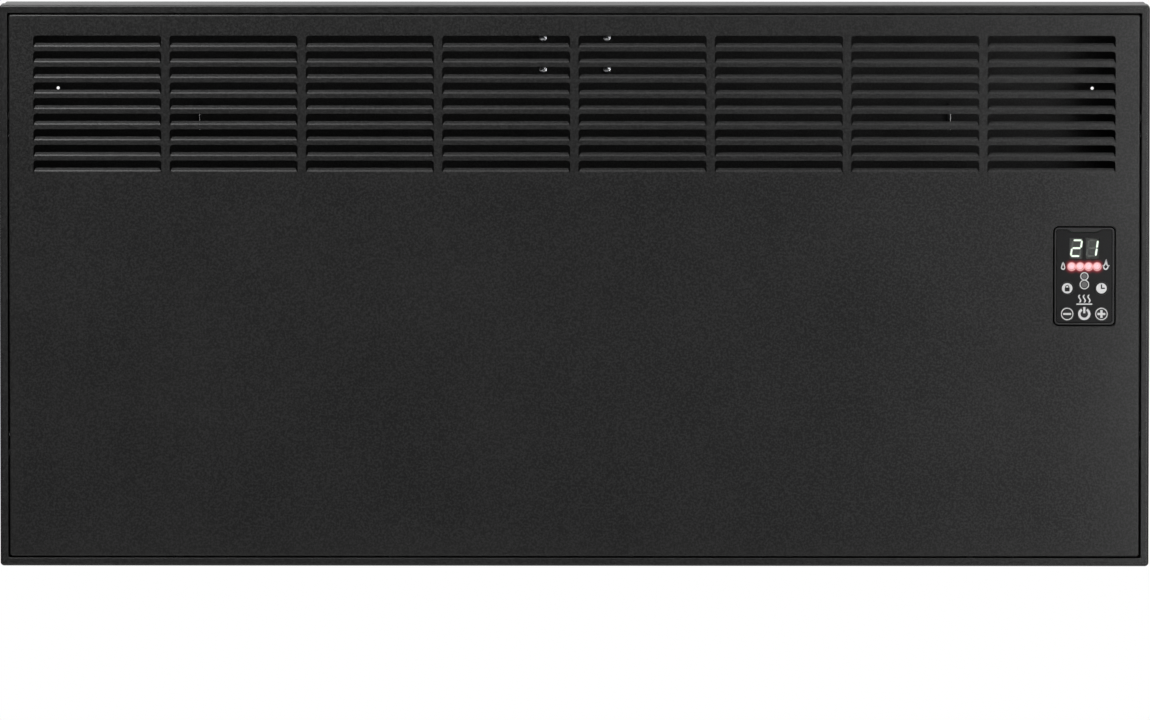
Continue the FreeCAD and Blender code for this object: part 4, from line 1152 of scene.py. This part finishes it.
@dataclass
class ScrewDomes(SubAssembly):
    """The crowned faces of the four screws that show through the louvres.

    Attributes:
        across: distance of each screw from the middle.
        heights: z of the two rows.
        radius: radius of a crown.
        crown: how far it stands out.
        steps: rings in its curve.
        sides: points round it.
        lift: how far its edge stands off the screw's head.
    """

    across: float = 25.7 * MM
    heights: tuple[float, float] = (65.1 * MM, 39.5 * MM)
    radius: float = 2.9 * MM
    crown: float = 0.9 * MM
    steps: int = 4
    sides: int = 24
    lift: float = 0.02 * MM

    def build(self, zinc: bpy.types.Material) -> None:
        """Build the four crowns.

        Args:
            zinc: their plating.
        """
        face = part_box("stiffener_screws")[0].y
        ball = (self.radius**2 + self.crown**2) / (2 * self.crown)
        wide = math.asin(self.radius / ball)
        bends = [wide * (1 - n / (self.steps + 0.5)) for n in range(self.steps + 1)]
        bench = Bench("dome").disc((0.0, face, 0.0), self.radius, self.sides)
        bench.pick(Part.FACES)
        bench.pull(y=-self.lift)
        for outer, inner in zip(bends, bends[1:]):
            bpy.ops.mesh.inset(thickness=ball * (math.sin(outer) - math.sin(inner)))
            bench.move(y=-ball * (math.cos(inner) - math.cos(outer)))
        bench.tidy()
        dome = bench.done(40.0)
        places = [(side * self.across, z) for side in (-1, 1) for z in self.heights]
        domes = [copy_of(dome, "dome", x, 0.0, z) for x, z in places]
        bpy.data.objects.remove(dome)
        self.keep(join("stiffener_screw_crowns", domes), zinc, "zinc")


# ------------------------------------------------------------------------------ control unit
@dataclass
class Bezel(SubAssembly):
    """The control's ridged surround, with a shallow finger grip at its top.

    Attributes:
        middle: x and z of the unit's middle.
        width: outer width.
        height: outer height.
        corner: outer corner radius.
        groove: width of the outer groove.
        ridge: width of the raised ridge.
        ledge: width of the ledge behind the window.
        groove_y: face of the groove.
        ridge_y: face of the ridge.
        ledge_y: face of the ledge.
        back_y: back of the bezel.
        shade_ring_y: face of the flat black rings of painted shade in the groove and on the ledge.
        grip_drop: how far the finger grip hangs into the window.
        grip_wide: its half width at the top.
        grip_narrow: its half width at the bottom.
    """

    middle: tuple[float, float] = (408.0 * MM, -122.0 * MM)
    width: float = 50.0 * MM
    height: float = 80.0 * MM
    corner: float = 4.5 * MM
    groove: float = 1.2 * MM
    ridge: float = 1.3 * MM
    ledge: float = 1.2 * MM
    groove_y: float = -96.2 * MM
    ridge_y: float = -98.4 * MM
    ledge_y: float = -95.9 * MM
    back_y: float = -90.0 * MM
    shade_ring_y: float = -96.35 * MM
    grip_drop: float = 2.0 * MM
    grip_wide: float = 14.0 * MM
    grip_narrow: float = 9.0 * MM

    def build(self, plastic: bpy.types.Material, foam: bpy.types.Material) -> None:
        """Build the surround and the black rings of painted shade in its groove and on its ledge.

        Args:
            plastic: the surround's material.
            foam: the rings' black, dull material, which paints shade into the gaps.
        """
        cx, cz = self.middle
        low = (cx - self.width / 2, self.groove_y, cz - self.height / 2)
        high = (cx + self.width / 2, self.back_y, cz + self.height / 2)
        bench = Bench("control_bezel_ridged").block(low, high)
        deep = self.back_y - self.groove_y
        bench.pick(Part.EDGES, lambda e: near(abs(e.verts[0].co.y - e.verts[1].co.y), deep))
        bpy.ops.mesh.bevel(offset=self.corner, segments=10, affect="EDGES")
        bench.pick(Part.FACES, lambda f: f.normal.y < -0.99)
        bpy.ops.mesh.inset(thickness=self.groove)
        bench.pull(y=self.ridge_y - self.groove_y)
        bpy.ops.mesh.inset(thickness=self.ridge)
        bench.pull(y=self.ledge_y - self.ridge_y)
        bpy.ops.mesh.inset(thickness=self.ledge)
        bench.pull(y=self.back_y - self.ledge_y)
        bpy.ops.mesh.delete(type="FACE")
        bench.drop_faces(lambda f: f.normal.y > 0.99 and near(middle_of(f).y, self.back_y))
        bench.pick(Part.EDGES, lambda e: e.is_boundary)
        bpy.ops.mesh.bridge_edge_loops()
        self.grip(bench)
        bench.tidy()
        sharp = {"limit_method": "ANGLE", "angle_limit": math.radians(50)}
        bench.modify("BEVEL", width=0.28 * MM, segments=3, **sharp)
        self.keep(bench.done(40.0), plastic, "black_plastic", ["control_bezel"])
        # painted shade: two flat black rings make the groove and the gap at the ledge look dark
        outer = self.seal(self.width / 2, self.groove, self.corner)
        inset = self.groove + self.ridge
        inner = self.seal(self.width / 2 - inset, self.ledge, self.corner - inset)
        self.keep(join("control_groove_shade", [outer, inner]), foam, "black_plastic")

    def seal(self, half_width: float, wide: float, corner: float) -> bpy.types.Object:
        """A flat, dull black ring with round corners: painted shade laid in a gap of the surround.

        Args:
            half_width: half of its outer width.
            wide: width of the ring itself.
            corner: its outer corner radius.

        Returns:
            The ring.
        """
        cx, cz = self.middle
        half_height = half_width + (self.height - self.width) / 2
        bench = Bench("seal").plate((cx, self.shade_ring_y, cz), 2 * half_width, 2 * half_height)
        bench.pick(Part.POINTS)
        bpy.ops.mesh.bevel(offset=corner, segments=6, affect="VERTICES")
        bench.pick(Part.FACES)
        bpy.ops.mesh.inset(thickness=wide)
        bpy.ops.mesh.delete(type="FACE")
        bench.pick(Part.FACES)
        bench.pull(y=0.1 * MM)
        bench.tidy()
        return bench.done(40.0)

    def grip(self, bench: Bench) -> None:
        """Let the ridge's upper inner edge down into the finger grip.

        Args:
            bench: where the bezel is.
        """
        cx, cz = self.middle
        pocket_top = cz + self.height / 2 - self.groove - self.ridge
        steps = [self.grip_wide - (self.grip_wide - self.grip_narrow) * n / 6 for n in range(7)]
        bench.cut_all(0, [cx + side * s for s in steps for side in (-1, 1)])
        for n, step in enumerate(steps[1:], 1):
            share = 0.5 - 0.5 * math.cos(math.pi * n / 6)
            bench.shift(
                lambda v: near(v.co.z, pocket_top)
                and v.co.y < self.ledge_y + 0.0001
                and near(abs(v.co.x - cx), step),
                z=-self.grip_drop * share,
            )


@dataclass
class Pen:
    """Draws thin printed shapes and lit bars, in millimetres from the control's middle.

    Attributes:
        middle: x and z of the control's middle, in metres.
        face: y of the face that is drawn on, in metres.
        film: thickness of a shape, in metres.
    """

    middle: tuple[float, float] = (408.0 * MM, -122.0 * MM)
    face: float = -97.9 * MM
    film: float = 0.03 * MM

    def at(self, x: float, z: float) -> Point:
        """The place of a point on the face."""
        return (self.middle[0] + x * MM, self.face, self.middle[1] + z * MM)

    def thicken(self, bench: Bench) -> bpy.types.Object:
        """Give a flat outline its thickness, towards the front.

        Args:
            bench: where the outline is.

        Returns:
            The finished shape.
        """
        bench.tidy(outward=False)
        bench.pick(Part.FACES)
        bench.pull(y=-self.film)
        bench.pick(Part.FACES)
        bpy.ops.mesh.normals_make_consistent(inside=False)
        return bench.done(30.0)

    def ring(
        self, x: float, z: float, outer: float, stroke: float, gap: float = 0.0
    ) -> bpy.types.Object:
        """A ring, which may be open at the top.

        Args:
            x: right of the middle.
            z: over the middle.
            outer: outer radius.
            stroke: line width.
            gap: half of the opening at the top, in degrees.

        Returns:
            The ring.
        """
        centre = self.at(x, z)
        bench = Bench("ring").disc(centre, outer * MM, 60, filled=False)
        bench.pick(Part.EDGES)
        bpy.ops.mesh.extrude_edges_move()
        share = (outer - stroke) / outer
        bpy.ops.transform.resize(value=(share, 1.0, share), center_override=centre)
        if gap:
            reach = math.sin(math.radians(gap)) * (outer - stroke / 2) * MM
            bench.drop_faces(
                lambda f: abs(middle_of(f).x - centre[0]) < reach and middle_of(f).z > centre[2]
            )
        return self.thicken(bench)

    def spot(self, x: float, z: float, radius: float) -> bpy.types.Object:
        """A round spot."""
        return self.thicken(Bench("spot").disc(self.at(x, z), radius * MM, 48))

    def bar(
        self, x: float, z: float, wide: float, tall: float, tip: float = 0.0, lean: float = 0.0
    ) -> bpy.types.Object:
        """A bar, which may have pointed ends and lean.

        Args:
            x: right of the middle.
            z: over the middle.
            wide: width.
            tall: height.
            tip: length of its pointed ends.
            lean: sideways shift for each millimetre up from the bar's middle.

        Returns:
            The bar.
        """
        centre = self.at(x, z)
        bench = Bench("bar").plate(centre, wide * MM, tall * MM)
        axis = 2 if tall > wide else 0
        half = max(tall, wide) / 2 * MM
        if tip:
            reach = half - tip * MM
            bench.cut_all(axis, [centre[axis] - reach, centre[axis] + reach])
            bench.pick(Part.POINTS, lambda v: abs(v.co[axis] - centre[axis]) > reach + 0.00001)
            thin = (0.16, 1.0, 1.0) if axis == 2 else (1.0, 1.0, 0.16)
            bpy.ops.transform.resize(value=thin, center_override=centre)
        if lean:
            mesh = bmesh.from_edit_mesh(bench.piece.data)
            for level in sorted({round(v.co.z, 6) for v in mesh.verts}):
                bench.shift(lambda v: near(v.co.z, level, 0.000002), x=(level - centre[2]) * lean)
        return self.thicken(bench)

    def flame(
        self,
        x: float,
        z: float,
        radius: float,
        tongues: Sequence[tuple[float, float, float]],
        inner: bool = False,
    ) -> bpy.types.Object:
        """A flame: a disc with one or more tongues drawn out of it, and an open heart.

        Args:
            x: right of the middle.
            z: over the middle.
            radius: radius of its round bottom.
            tongues: direction from upright in degrees, length and spread in degrees of each.
            inner: whether its heart is left open.

        Returns:
            The flame.
        """
        centre = Vector(self.at(x, z))
        bench = Bench("flame").disc(tuple(centre), radius * MM, 72)
        mesh = bmesh.from_edit_mesh(bench.piece.data)
        mesh.verts.ensure_lookup_table()
        for number in range(len(mesh.verts)):
            mesh = bmesh.from_edit_mesh(bench.piece.data)
            mesh.verts.ensure_lookup_table()
            away = mesh.verts[number].co - centre
            angle = math.degrees(math.atan2(away.x, away.z))
            reach = sum(
                length * math.exp(-((abs(angle - turn) / spread) ** 1.15))
                for turn, length, spread in tongues
            )
            bench.pick(Part.POINTS, lambda v: v.index == number)
            step = away.normalized() * reach * MM
            bench.move(step.x, 0.0, step.z)
        if inner:
            bench.pick(Part.FACES)
            bpy.ops.mesh.inset(thickness=radius * 0.52 * MM)
            bpy.ops.mesh.delete(type="FACE")
        return self.thicken(bench)

    def wave(self, x: float, z: float, wide: float, tall: float, sway: float) -> bpy.types.Object:
        """One rising heat wave.

        Args:
            x: right of the middle.
            z: over the middle.
            wide: line width.
            tall: height.
            sway: how far it swings to either side.

        Returns:
            The wave.
        """
        centre = self.at(x, z)
        bench = Bench("wave").plate(centre, wide * MM, tall * MM)
        levels = [centre[2] + tall * MM * (n / 16 - 0.5) for n in range(17)]
        bench.cut_all(2, levels[1:-1])
        for n, level in enumerate(levels):
            aside = sway * MM * math.sin(math.tau * n / 16)
            bench.shift(lambda v: near(v.co.z, level, 0.000005), x=aside)
        return self.thicken(bench)


class Symbol(enum.Enum):
    """The symbols printed on the control, by the body that each one rides on."""

    MINUS = "key_minus"
    POWER = "key_power"
    PLUS = "key_plus"
    LOCK = "key_lock"
    TIMER = "key_timer"


@dataclass
class Symbols(SubAssembly):
    """The printed symbols.

    Attributes:
        column: distance between keys, in millimetres.
        low_row: height of the lower keys over the middle, in millimetres.
        high_row: height of the upper keys over the middle, in millimetres.
        lamp_rise: height of the lamps' row, in millimetres.
    """

    column: float = 13.7
    low_row: float = -30.3
    high_row: float = -9.7
    lamp_rise: float = 7.7

    def keys(self, pen: Pen, over: Pen) -> dict[Symbol, tuple[list[Any], list[Any]]]:
        """Draw the five keys' symbols.

        Args:
            pen: draws on the keys' faces.
            over: draws on top of the first film.

        Returns:
            For each symbol, its pale shapes and the dark ones over them.
        """
        left, right, low, high = -self.column, self.column, self.low_row, self.high_row
        return {
            Symbol.MINUS: ([pen.ring(left, low, 4.95, 0.7), pen.bar(left, low, 6.3, 1.6)], []),
            Symbol.PLUS: (
                [
                    pen.ring(right, low, 4.95, 0.7),
                    pen.bar(right, low, 6.3, 1.8),
                    pen.bar(right, low + 2.0, 1.8, 2.3),
                    pen.bar(right, low - 2.0, 1.8, 2.3),
                ],
                [],
            ),
            Symbol.POWER: (
                [pen.ring(0.0, low, 4.9, 1.9, 28.0), pen.bar(0.0, low + 3.1, 1.7, 5.0)],
                [],
            ),
            Symbol.LOCK: (
                [pen.spot(left, high, 4.15)],
                [over.bar(left, high - 0.95, 3.9, 3.1), over.ring(left, high + 1.0, 1.65, 0.7)],
            ),
            Symbol.TIMER: (
                [pen.spot(right, high, 4.15)],
                [over.bar(right, high + 1.3, 1.1, 3.6), over.bar(right + 1.6, high, 2.2, 1.1)],
            ),
        }

    def build(
        self, pale: bpy.types.Material, dark: bpy.types.Material, grey: bpy.types.Material
    ) -> None:
        """Print every symbol.

        Args:
            pale: the light ink.
            dark: the ink over it.
            grey: the thin ink of the mode lamps' lenses.
        """
        pen = Pen()
        over = Pen(face=pen.face - pen.film)
        for symbol, (light, heavy) in self.keys(pen, over).items():
            key = symbol.value
            self.keep(join(f"{key}_symbol", light), pale, "key_plastic", body=key)
            if heavy:
                self.keep(join(f"{key}_symbol_dark", heavy), dark, "key_plastic", body=key)
        drop = pen.flame(-17.0, self.lamp_rise - 0.9, 1.7, [(0.0, 3.2, 22.0)], inner=True)
        tongues = [(4.0, 5.0, 15.0), (62.0, 1.7, 16.0), (-55.0, 1.4, 16.0)]
        blaze = pen.flame(17.0, self.lamp_rise - 0.7, 1.95, tongues, inner=True)
        self.keep(join("heat_level_symbols", [drop, blaze]), pale, "smoked_window")
        rings = [pen.ring(0.0, -0.1, 3.3, 0.75), pen.ring(0.0, -6.7, 3.8, 0.75)]
        self.keep(join("mode_symbols", rings), pale, "smoked_window")
        discs = [pen.spot(0.0, -0.1, 2.0), pen.spot(0.0, -6.7, 2.4)]
        self.keep(join("mode_lenses", discs), grey, "smoked_window")
        waves = [pen.wave(side * 3.7, -18.0, 1.15, 6.2, 0.75) for side in (-1, 0, 1)]
        waves.append(pen.bar(0.0, -22.4, 12.6, 1.0))
        self.keep(join("heat_mark", waves), pale, "smoked_window")


@dataclass
class Digits(SubAssembly):
    """The two leaning digits of the display.

    Attributes:
        rise: height of their middle over the control's, in millimetres.
        pitch: distance between the digits, in millimetres.
        width: width of a digit between its uprights' middles, in millimetres.
        height: outer height, in millimetres.
        stroke: width of a bar, in millimetres.
        slant: lean from upright, in degrees.
        gap: room at each end of a bar, in millimetres.
        face: y of the display's face, in metres.
        lit: which bars of each digit are lit, named a to g.
    """

    rise: float = 22.3
    pitch: float = 12.7
    width: float = 7.2
    height: float = 14.2
    stroke: float = 1.5
    slant: float = 8.0
    gap: float = 0.25
    face: float = -95.3 * MM
    lit: tuple[str, str] = ("abged", "bc")

    def build(self, lit: bpy.types.Material, unlit: bpy.types.Material) -> None:
        """Build every bar.

        Args:
            lit: the glowing finish.
            unlit: the finish of the bars that are off.
        """
        pen = Pen(face=self.face, film=0.25 * MM)
        lean = math.tan(math.radians(self.slant))
        tall = self.height / 2 - self.stroke / 2
        wide = self.width / 2
        tip = self.stroke / 2
        flat = (0.0, 0.0, self.width - 2 * self.gap, self.stroke, tip, lean)
        upright = (0.0, 0.0, self.stroke, tall - 2 * self.gap, tip, lean)
        places = {
            "a": (0.0, tall, flat),
            "b": (wide, tall / 2, upright),
            "c": (wide, -tall / 2, upright),
            "d": (0.0, -tall, flat),
            "e": (-wide, -tall / 2, upright),
            "f": (-wide, tall / 2, upright),
            "g": (0.0, 0.0, flat),
        }
        shapes = {flat: pen.bar(*flat), upright: pen.bar(*upright)}
        groups: dict[bool, list[Any]] = {True: [], False: []}
        for digit, on in zip((-self.pitch / 2, self.pitch / 2), self.lit):
            for letter, (x, z, shape) in places.items():
                across = (digit + x + z * lean) * MM
                bar = copy_of(shapes[shape], "bar", across, 0.0, (z + self.rise) * MM)
                groups[letter in on].append(bar)
        for spare in shapes.values():
            bpy.data.objects.remove(spare)
        self.keep(join("digits_lit", groups[True]), lit, "digit_glow", ["digit_segments"])
        self.keep(join("digits_unlit", groups[False]), unlit, "lamp_block", ["digit_segments"])


# ------------------------------------------------------------------------------ finishes in use
FINISHES = {
    "black_powder": PowderCoat("powder_black", (0.0125, 0.0125, 0.0125)),
    "black_bracket": PowderCoat("bracket_black", (0.016, 0.016, 0.017), roughness=0.5),
    "zinc": BareMetal("zinc_plate", (0.70, 0.71, 0.73), roughness=0.20, tint=(0.58, 0.60, 0.63)),
    "bright_sheet": BareMetal("aluminised_sheet", (0.66, 0.67, 0.68), 0.38, Lay.ALONG_X, 0.0008),
    "element_alloy": BareMetal("extruded_alloy", (0.72, 0.73, 0.74), 0.36, Lay.ALONG_X, 0.0007),
    "core_steel": BareMetal("core_steel", (0.42, 0.40, 0.38), 0.42, tint=(0.30, 0.24, 0.19)),
    "brass": BareMetal("brass", (0.72, 0.54, 0.25), 0.30, tint=(0.55, 0.38, 0.16)),
    "black_plastic": Moulding("black_moulding", (0.013, 0.013, 0.0132), 0.42),
    "smoked_window": SmokedWindow(
        "smoked_window", (0.0060, 0.0060, 0.0063), (408.0 * MM, -122.0 * MM)
    ),
    "key_plastic": Moulding("key_tops", (0.0060, 0.0060, 0.0063), 0.40, 0.0006, 0.10),
    "rubber": Moulding("grommet_rubber", (0.012, 0.012, 0.012), 0.72, 0.0008, 0.25),
    "silicone": Moulding("bush_silicone", (0.36, 0.05, 0.03), 0.55, 0.0008, 0.12),
    "fibre": Moulding("fibre_washer", (0.006, 0.006, 0.006), 0.9, 0.0004, 0.35, shine=0.15),
    "board": BoardLacquer("board_lacquer", (0.010, 0.085, 0.035)),
    "lamp_block": Moulding("display_block", (0.090, 0.095, 0.090), 0.55, 0.0006, 0.1),
    "digit_glow": Glow("digit_glow", (0.84, 1.0, 0.82), (0.5, 0.55, 0.5), 1.35, 0.08),
    "red_lamp": Glow("heat_lamps", (1.0, 0.48, 0.54), (0.7, 0.25, 0.28), 1.25, 0.14),
    "dim_lamp": Moulding("mode_lamps", (0.33, 0.34, 0.35), 0.32, 0.0008, 0.08, coat=0.4),
    "switch_plastic": Moulding("switch_plastic", (0.05, 0.05, 0.052), 0.45),
    "relay_plastic": Moulding("relay_plastic", (0.55, 0.57, 0.58), 0.4),
    "potting": Moulding("potting", (0.02, 0.02, 0.022), 0.35, 0.003, 0.25, coat=0.3),
    "terminal_plastic": Moulding("terminal_plastic", (0.62, 0.60, 0.55), 0.42),
    "ceramic": Moulding("steatite", (0.68, 0.66, 0.61), 0.5, 0.0007, 0.2),
    "lead_jacket": Moulding("lead_jacket", (0.20, 0.085, 0.035), 0.5, 0.0008, 0.12),
    "earth_jacket": Moulding("earth_jacket", (0.16, 0.30, 0.03), 0.5, 0.0008, 0.12),
    "thin_jacket": Moulding("thin_jacket", (0.30, 0.31, 0.32), 0.5, 0.0006, 0.12),
    "foot_plastic": Moulding("foot_plastic", (0.015, 0.015, 0.0155), 0.5, 0.0009, 0.22),
}


@dataclass
class Wardrobe:
    """Makes each finish once and dresses the model's own nodes.

    Attributes:
        made: materials by slot.
    """

    made: dict[str, bpy.types.Material] = field(default_factory=dict)

    def get(self, slot: str) -> bpy.types.Material:
        """The material of a slot."""
        if slot not in self.made:
            self.made[slot] = FINISHES[slot].material()
        return self.made[slot]

    def dress_nodes(self) -> None:
        """Give every node of the model its finish, by the slot that it was packed with."""
        for name, node in sorted(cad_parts.items()):
            slot = node.data.materials[0].name.split(".")[0]
            dress(node, self.get(slot))
            LOG.info("%s: %s", name, slot)


# ------------------------------------------------------------------------------ studio
@dataclass(frozen=True)
class SoftBox:
    """One soft box.

    Attributes:
        name: its name.
        place: where it hangs.
        aim: what it points at.
        width: its width.
        height: its height.
        power: in watts.
    """

    name: str
    place: Point
    aim: Point
    width: float
    height: float
    power: float

    def hang(self) -> None:
        """Hang it in the scene."""
        data = bpy.data.lights.new(self.name, "AREA")
        data.shape = "RECTANGLE"
        data.size = self.width
        data.size_y = self.height
        data.energy = self.power
        lamp = bpy.data.objects.new(self.name, data)
        lamp.location = self.place
        gaze = Vector(self.aim) - Vector(self.place)
        lamp.rotation_euler = gaze.to_track_quat("-Z", "Y").to_euler()
        lamp.visible_camera = False
        bpy.context.scene.collection.objects.link(lamp)


@dataclass
class Studio:
    """Plain floor, soft lights, pale surroundings and the camera.

    Attributes:
        target: what the camera looks at.
        distance: from there to the camera.
        azimuth: camera's angle to the right, in degrees.
        elevation: camera's angle up, in degrees.
        lens: focal length in millimetres on a 36 mm wide sensor.
        floor_z: height of the floor.
        floor_radius: its radius.
        boxes: the soft boxes.
    """

    target: Point = (0.0004, -0.080, -0.1908)
    distance: float = 12.0
    azimuth: float = 0.40
    elevation: float = 4.34
    lens: float = 468.6
    floor_z: float = -1.2
    floor_radius: float = 3.2
    boxes: tuple[SoftBox, ...] = (
        SoftBox("front_left_high", (-0.85, -1.0, 1.55), (-0.40, -0.1, 0.0), 0.7, 0.45, 41.0),
        SoftBox("front_middle", (0.90, -1.9, 0.35), (0.2, -0.1, -0.1), 0.5, 0.7, 2.0),
        SoftBox("front_right", (2.4, -3.2, 1.0), (0.2, -0.1, -0.1), 1.6, 2.0, 22.0),
        SoftBox("edge_right", (0.585, -0.42, -0.10), (0.46, -0.1, -0.14), 0.08, 0.8, 1.25),
        SoftBox("overhead", (0.2, 0.1, 2.3), (0.0, -0.05, 0.0), 2.6, 1.4, 22.0),
    )

    def camera(self) -> None:
        """Set up the camera."""
        data = bpy.data.cameras.new("camera")
        data.lens = self.lens
        data.sensor_width = 36.0
        data.clip_start = 0.1
        data.clip_end = 60.0
        camera = bpy.data.objects.new("camera", data)
        bpy.context.scene.collection.objects.link(camera)
        a, e = math.radians(self.azimuth), math.radians(self.elevation)
        back = Vector((math.sin(a) * math.cos(e), -math.cos(a) * math.cos(e), math.sin(e)))
        camera.location = Vector(self.target) + back * self.distance
        camera.rotation_euler = (-back).to_track_quat("-Z", "Y").to_euler()
        bpy.context.scene.camera = camera

    def surroundings(self) -> None:
        """Surroundings that are white where they are looked at, and dim in front of the heater."""
        world = bpy.data.worlds.new("studio")
        world.use_nodes = True
        tree = world.node_tree
        tree.nodes.clear()
        where = tree.nodes.new("ShaderNodeTexCoord")
        parts = tree.nodes.new("ShaderNodeSeparateXYZ")
        tree.links.new(where.outputs["Generated"], parts.inputs[0])
        spread = tree.nodes.new("ShaderNodeMapRange")
        spread.interpolation_type = "SMOOTHSTEP"
        limits = {"From Min": -0.1, "From Max": 0.9, "To Min": 0.04, "To Max": 0.95}
        for name, value in limits.items():
            spread.inputs[name].default_value = value
        tree.links.new(parts.outputs[1], spread.inputs["Value"])
        dim = tree.nodes.new("ShaderNodeBackground")
        tree.links.new(spread.outputs[0], dim.inputs["Strength"])
        white = tree.nodes.new("ShaderNodeBackground")
        for shade in (dim, white):
            shade.inputs["Color"].default_value = (1.0, 1.0, 1.0, 1.0)
        path = tree.nodes.new("ShaderNodeLightPath")
        mix = tree.nodes.new("ShaderNodeMixShader")
        out = tree.nodes.new("ShaderNodeOutputWorld")
        tree.links.new(path.outputs["Is Camera Ray"], mix.inputs[0])
        tree.links.new(dim.outputs[0], mix.inputs[1])
        tree.links.new(white.outputs[0], mix.inputs[2])
        tree.links.new(mix.outputs[0], out.inputs["Surface"])
        bpy.context.scene.world = world

    def floor(self) -> None:
        """Lay the plain floor."""
        bench = Bench("studio_floor").round_slab((0.0, 0.3, self.floor_z), self.floor_radius)
        floor = bench.done(None)
        sheet = Sheet("floor_paint")
        tone = sheet.noise(0.4, 2.0)
        colour = sheet.blend(tone, (0.86, 0.86, 0.86), (0.90, 0.90, 0.90))
        dress(floor, sheet.finish(Base_Color=colour, Roughness=tone * 0.1 + 0.6))

    def build(self) -> None:
        """Set up the whole studio."""
        bpy.context.scene.view_settings.view_transform = "Standard"
        self.surroundings()
        self.floor()
        for box in self.boxes:
            box.hang()
        self.camera()


def main() -> None:
    """Build every sub-assembly in order."""
    logging.basicConfig(level=logging.INFO, format="%(name)s: %(message)s")
    wardrobe = Wardrobe()
    wardrobe.dress_nodes()
    FrontPanel().build(wardrobe.get("black_powder"))
    FrontFrame().build(wardrobe.get("black_powder"))
    ScrewDomes().build(wardrobe.get("zinc"))
    # painted shade: a black, dull material for the rings in the control's groove and on its ledge
    foam = Moulding("painted_groove_shade", (0.003, 0.003, 0.003), 0.95, 0.0006, 0.4, shine=0.03)
    Bezel().build(wardrobe.get("black_plastic"), foam.material())
    pale = Ink("printed_grey", (0.60, 0.60, 0.60))
    dark = Ink("printed_black", (0.004, 0.004, 0.004))
    grey = Ink("printed_smoke", (0.11, 0.11, 0.11), 0.3)
    Symbols().build(pale.material(), dark.material(), grey.material())
    unlit = Moulding("digit_bars_off", (0.16, 0.175, 0.16), 0.45, 0.0006, 0.05)
    Digits().build(wardrobe.get("digit_glow"), unlit.material())
    Studio().build()


if __name__ == "__main__":
    main()
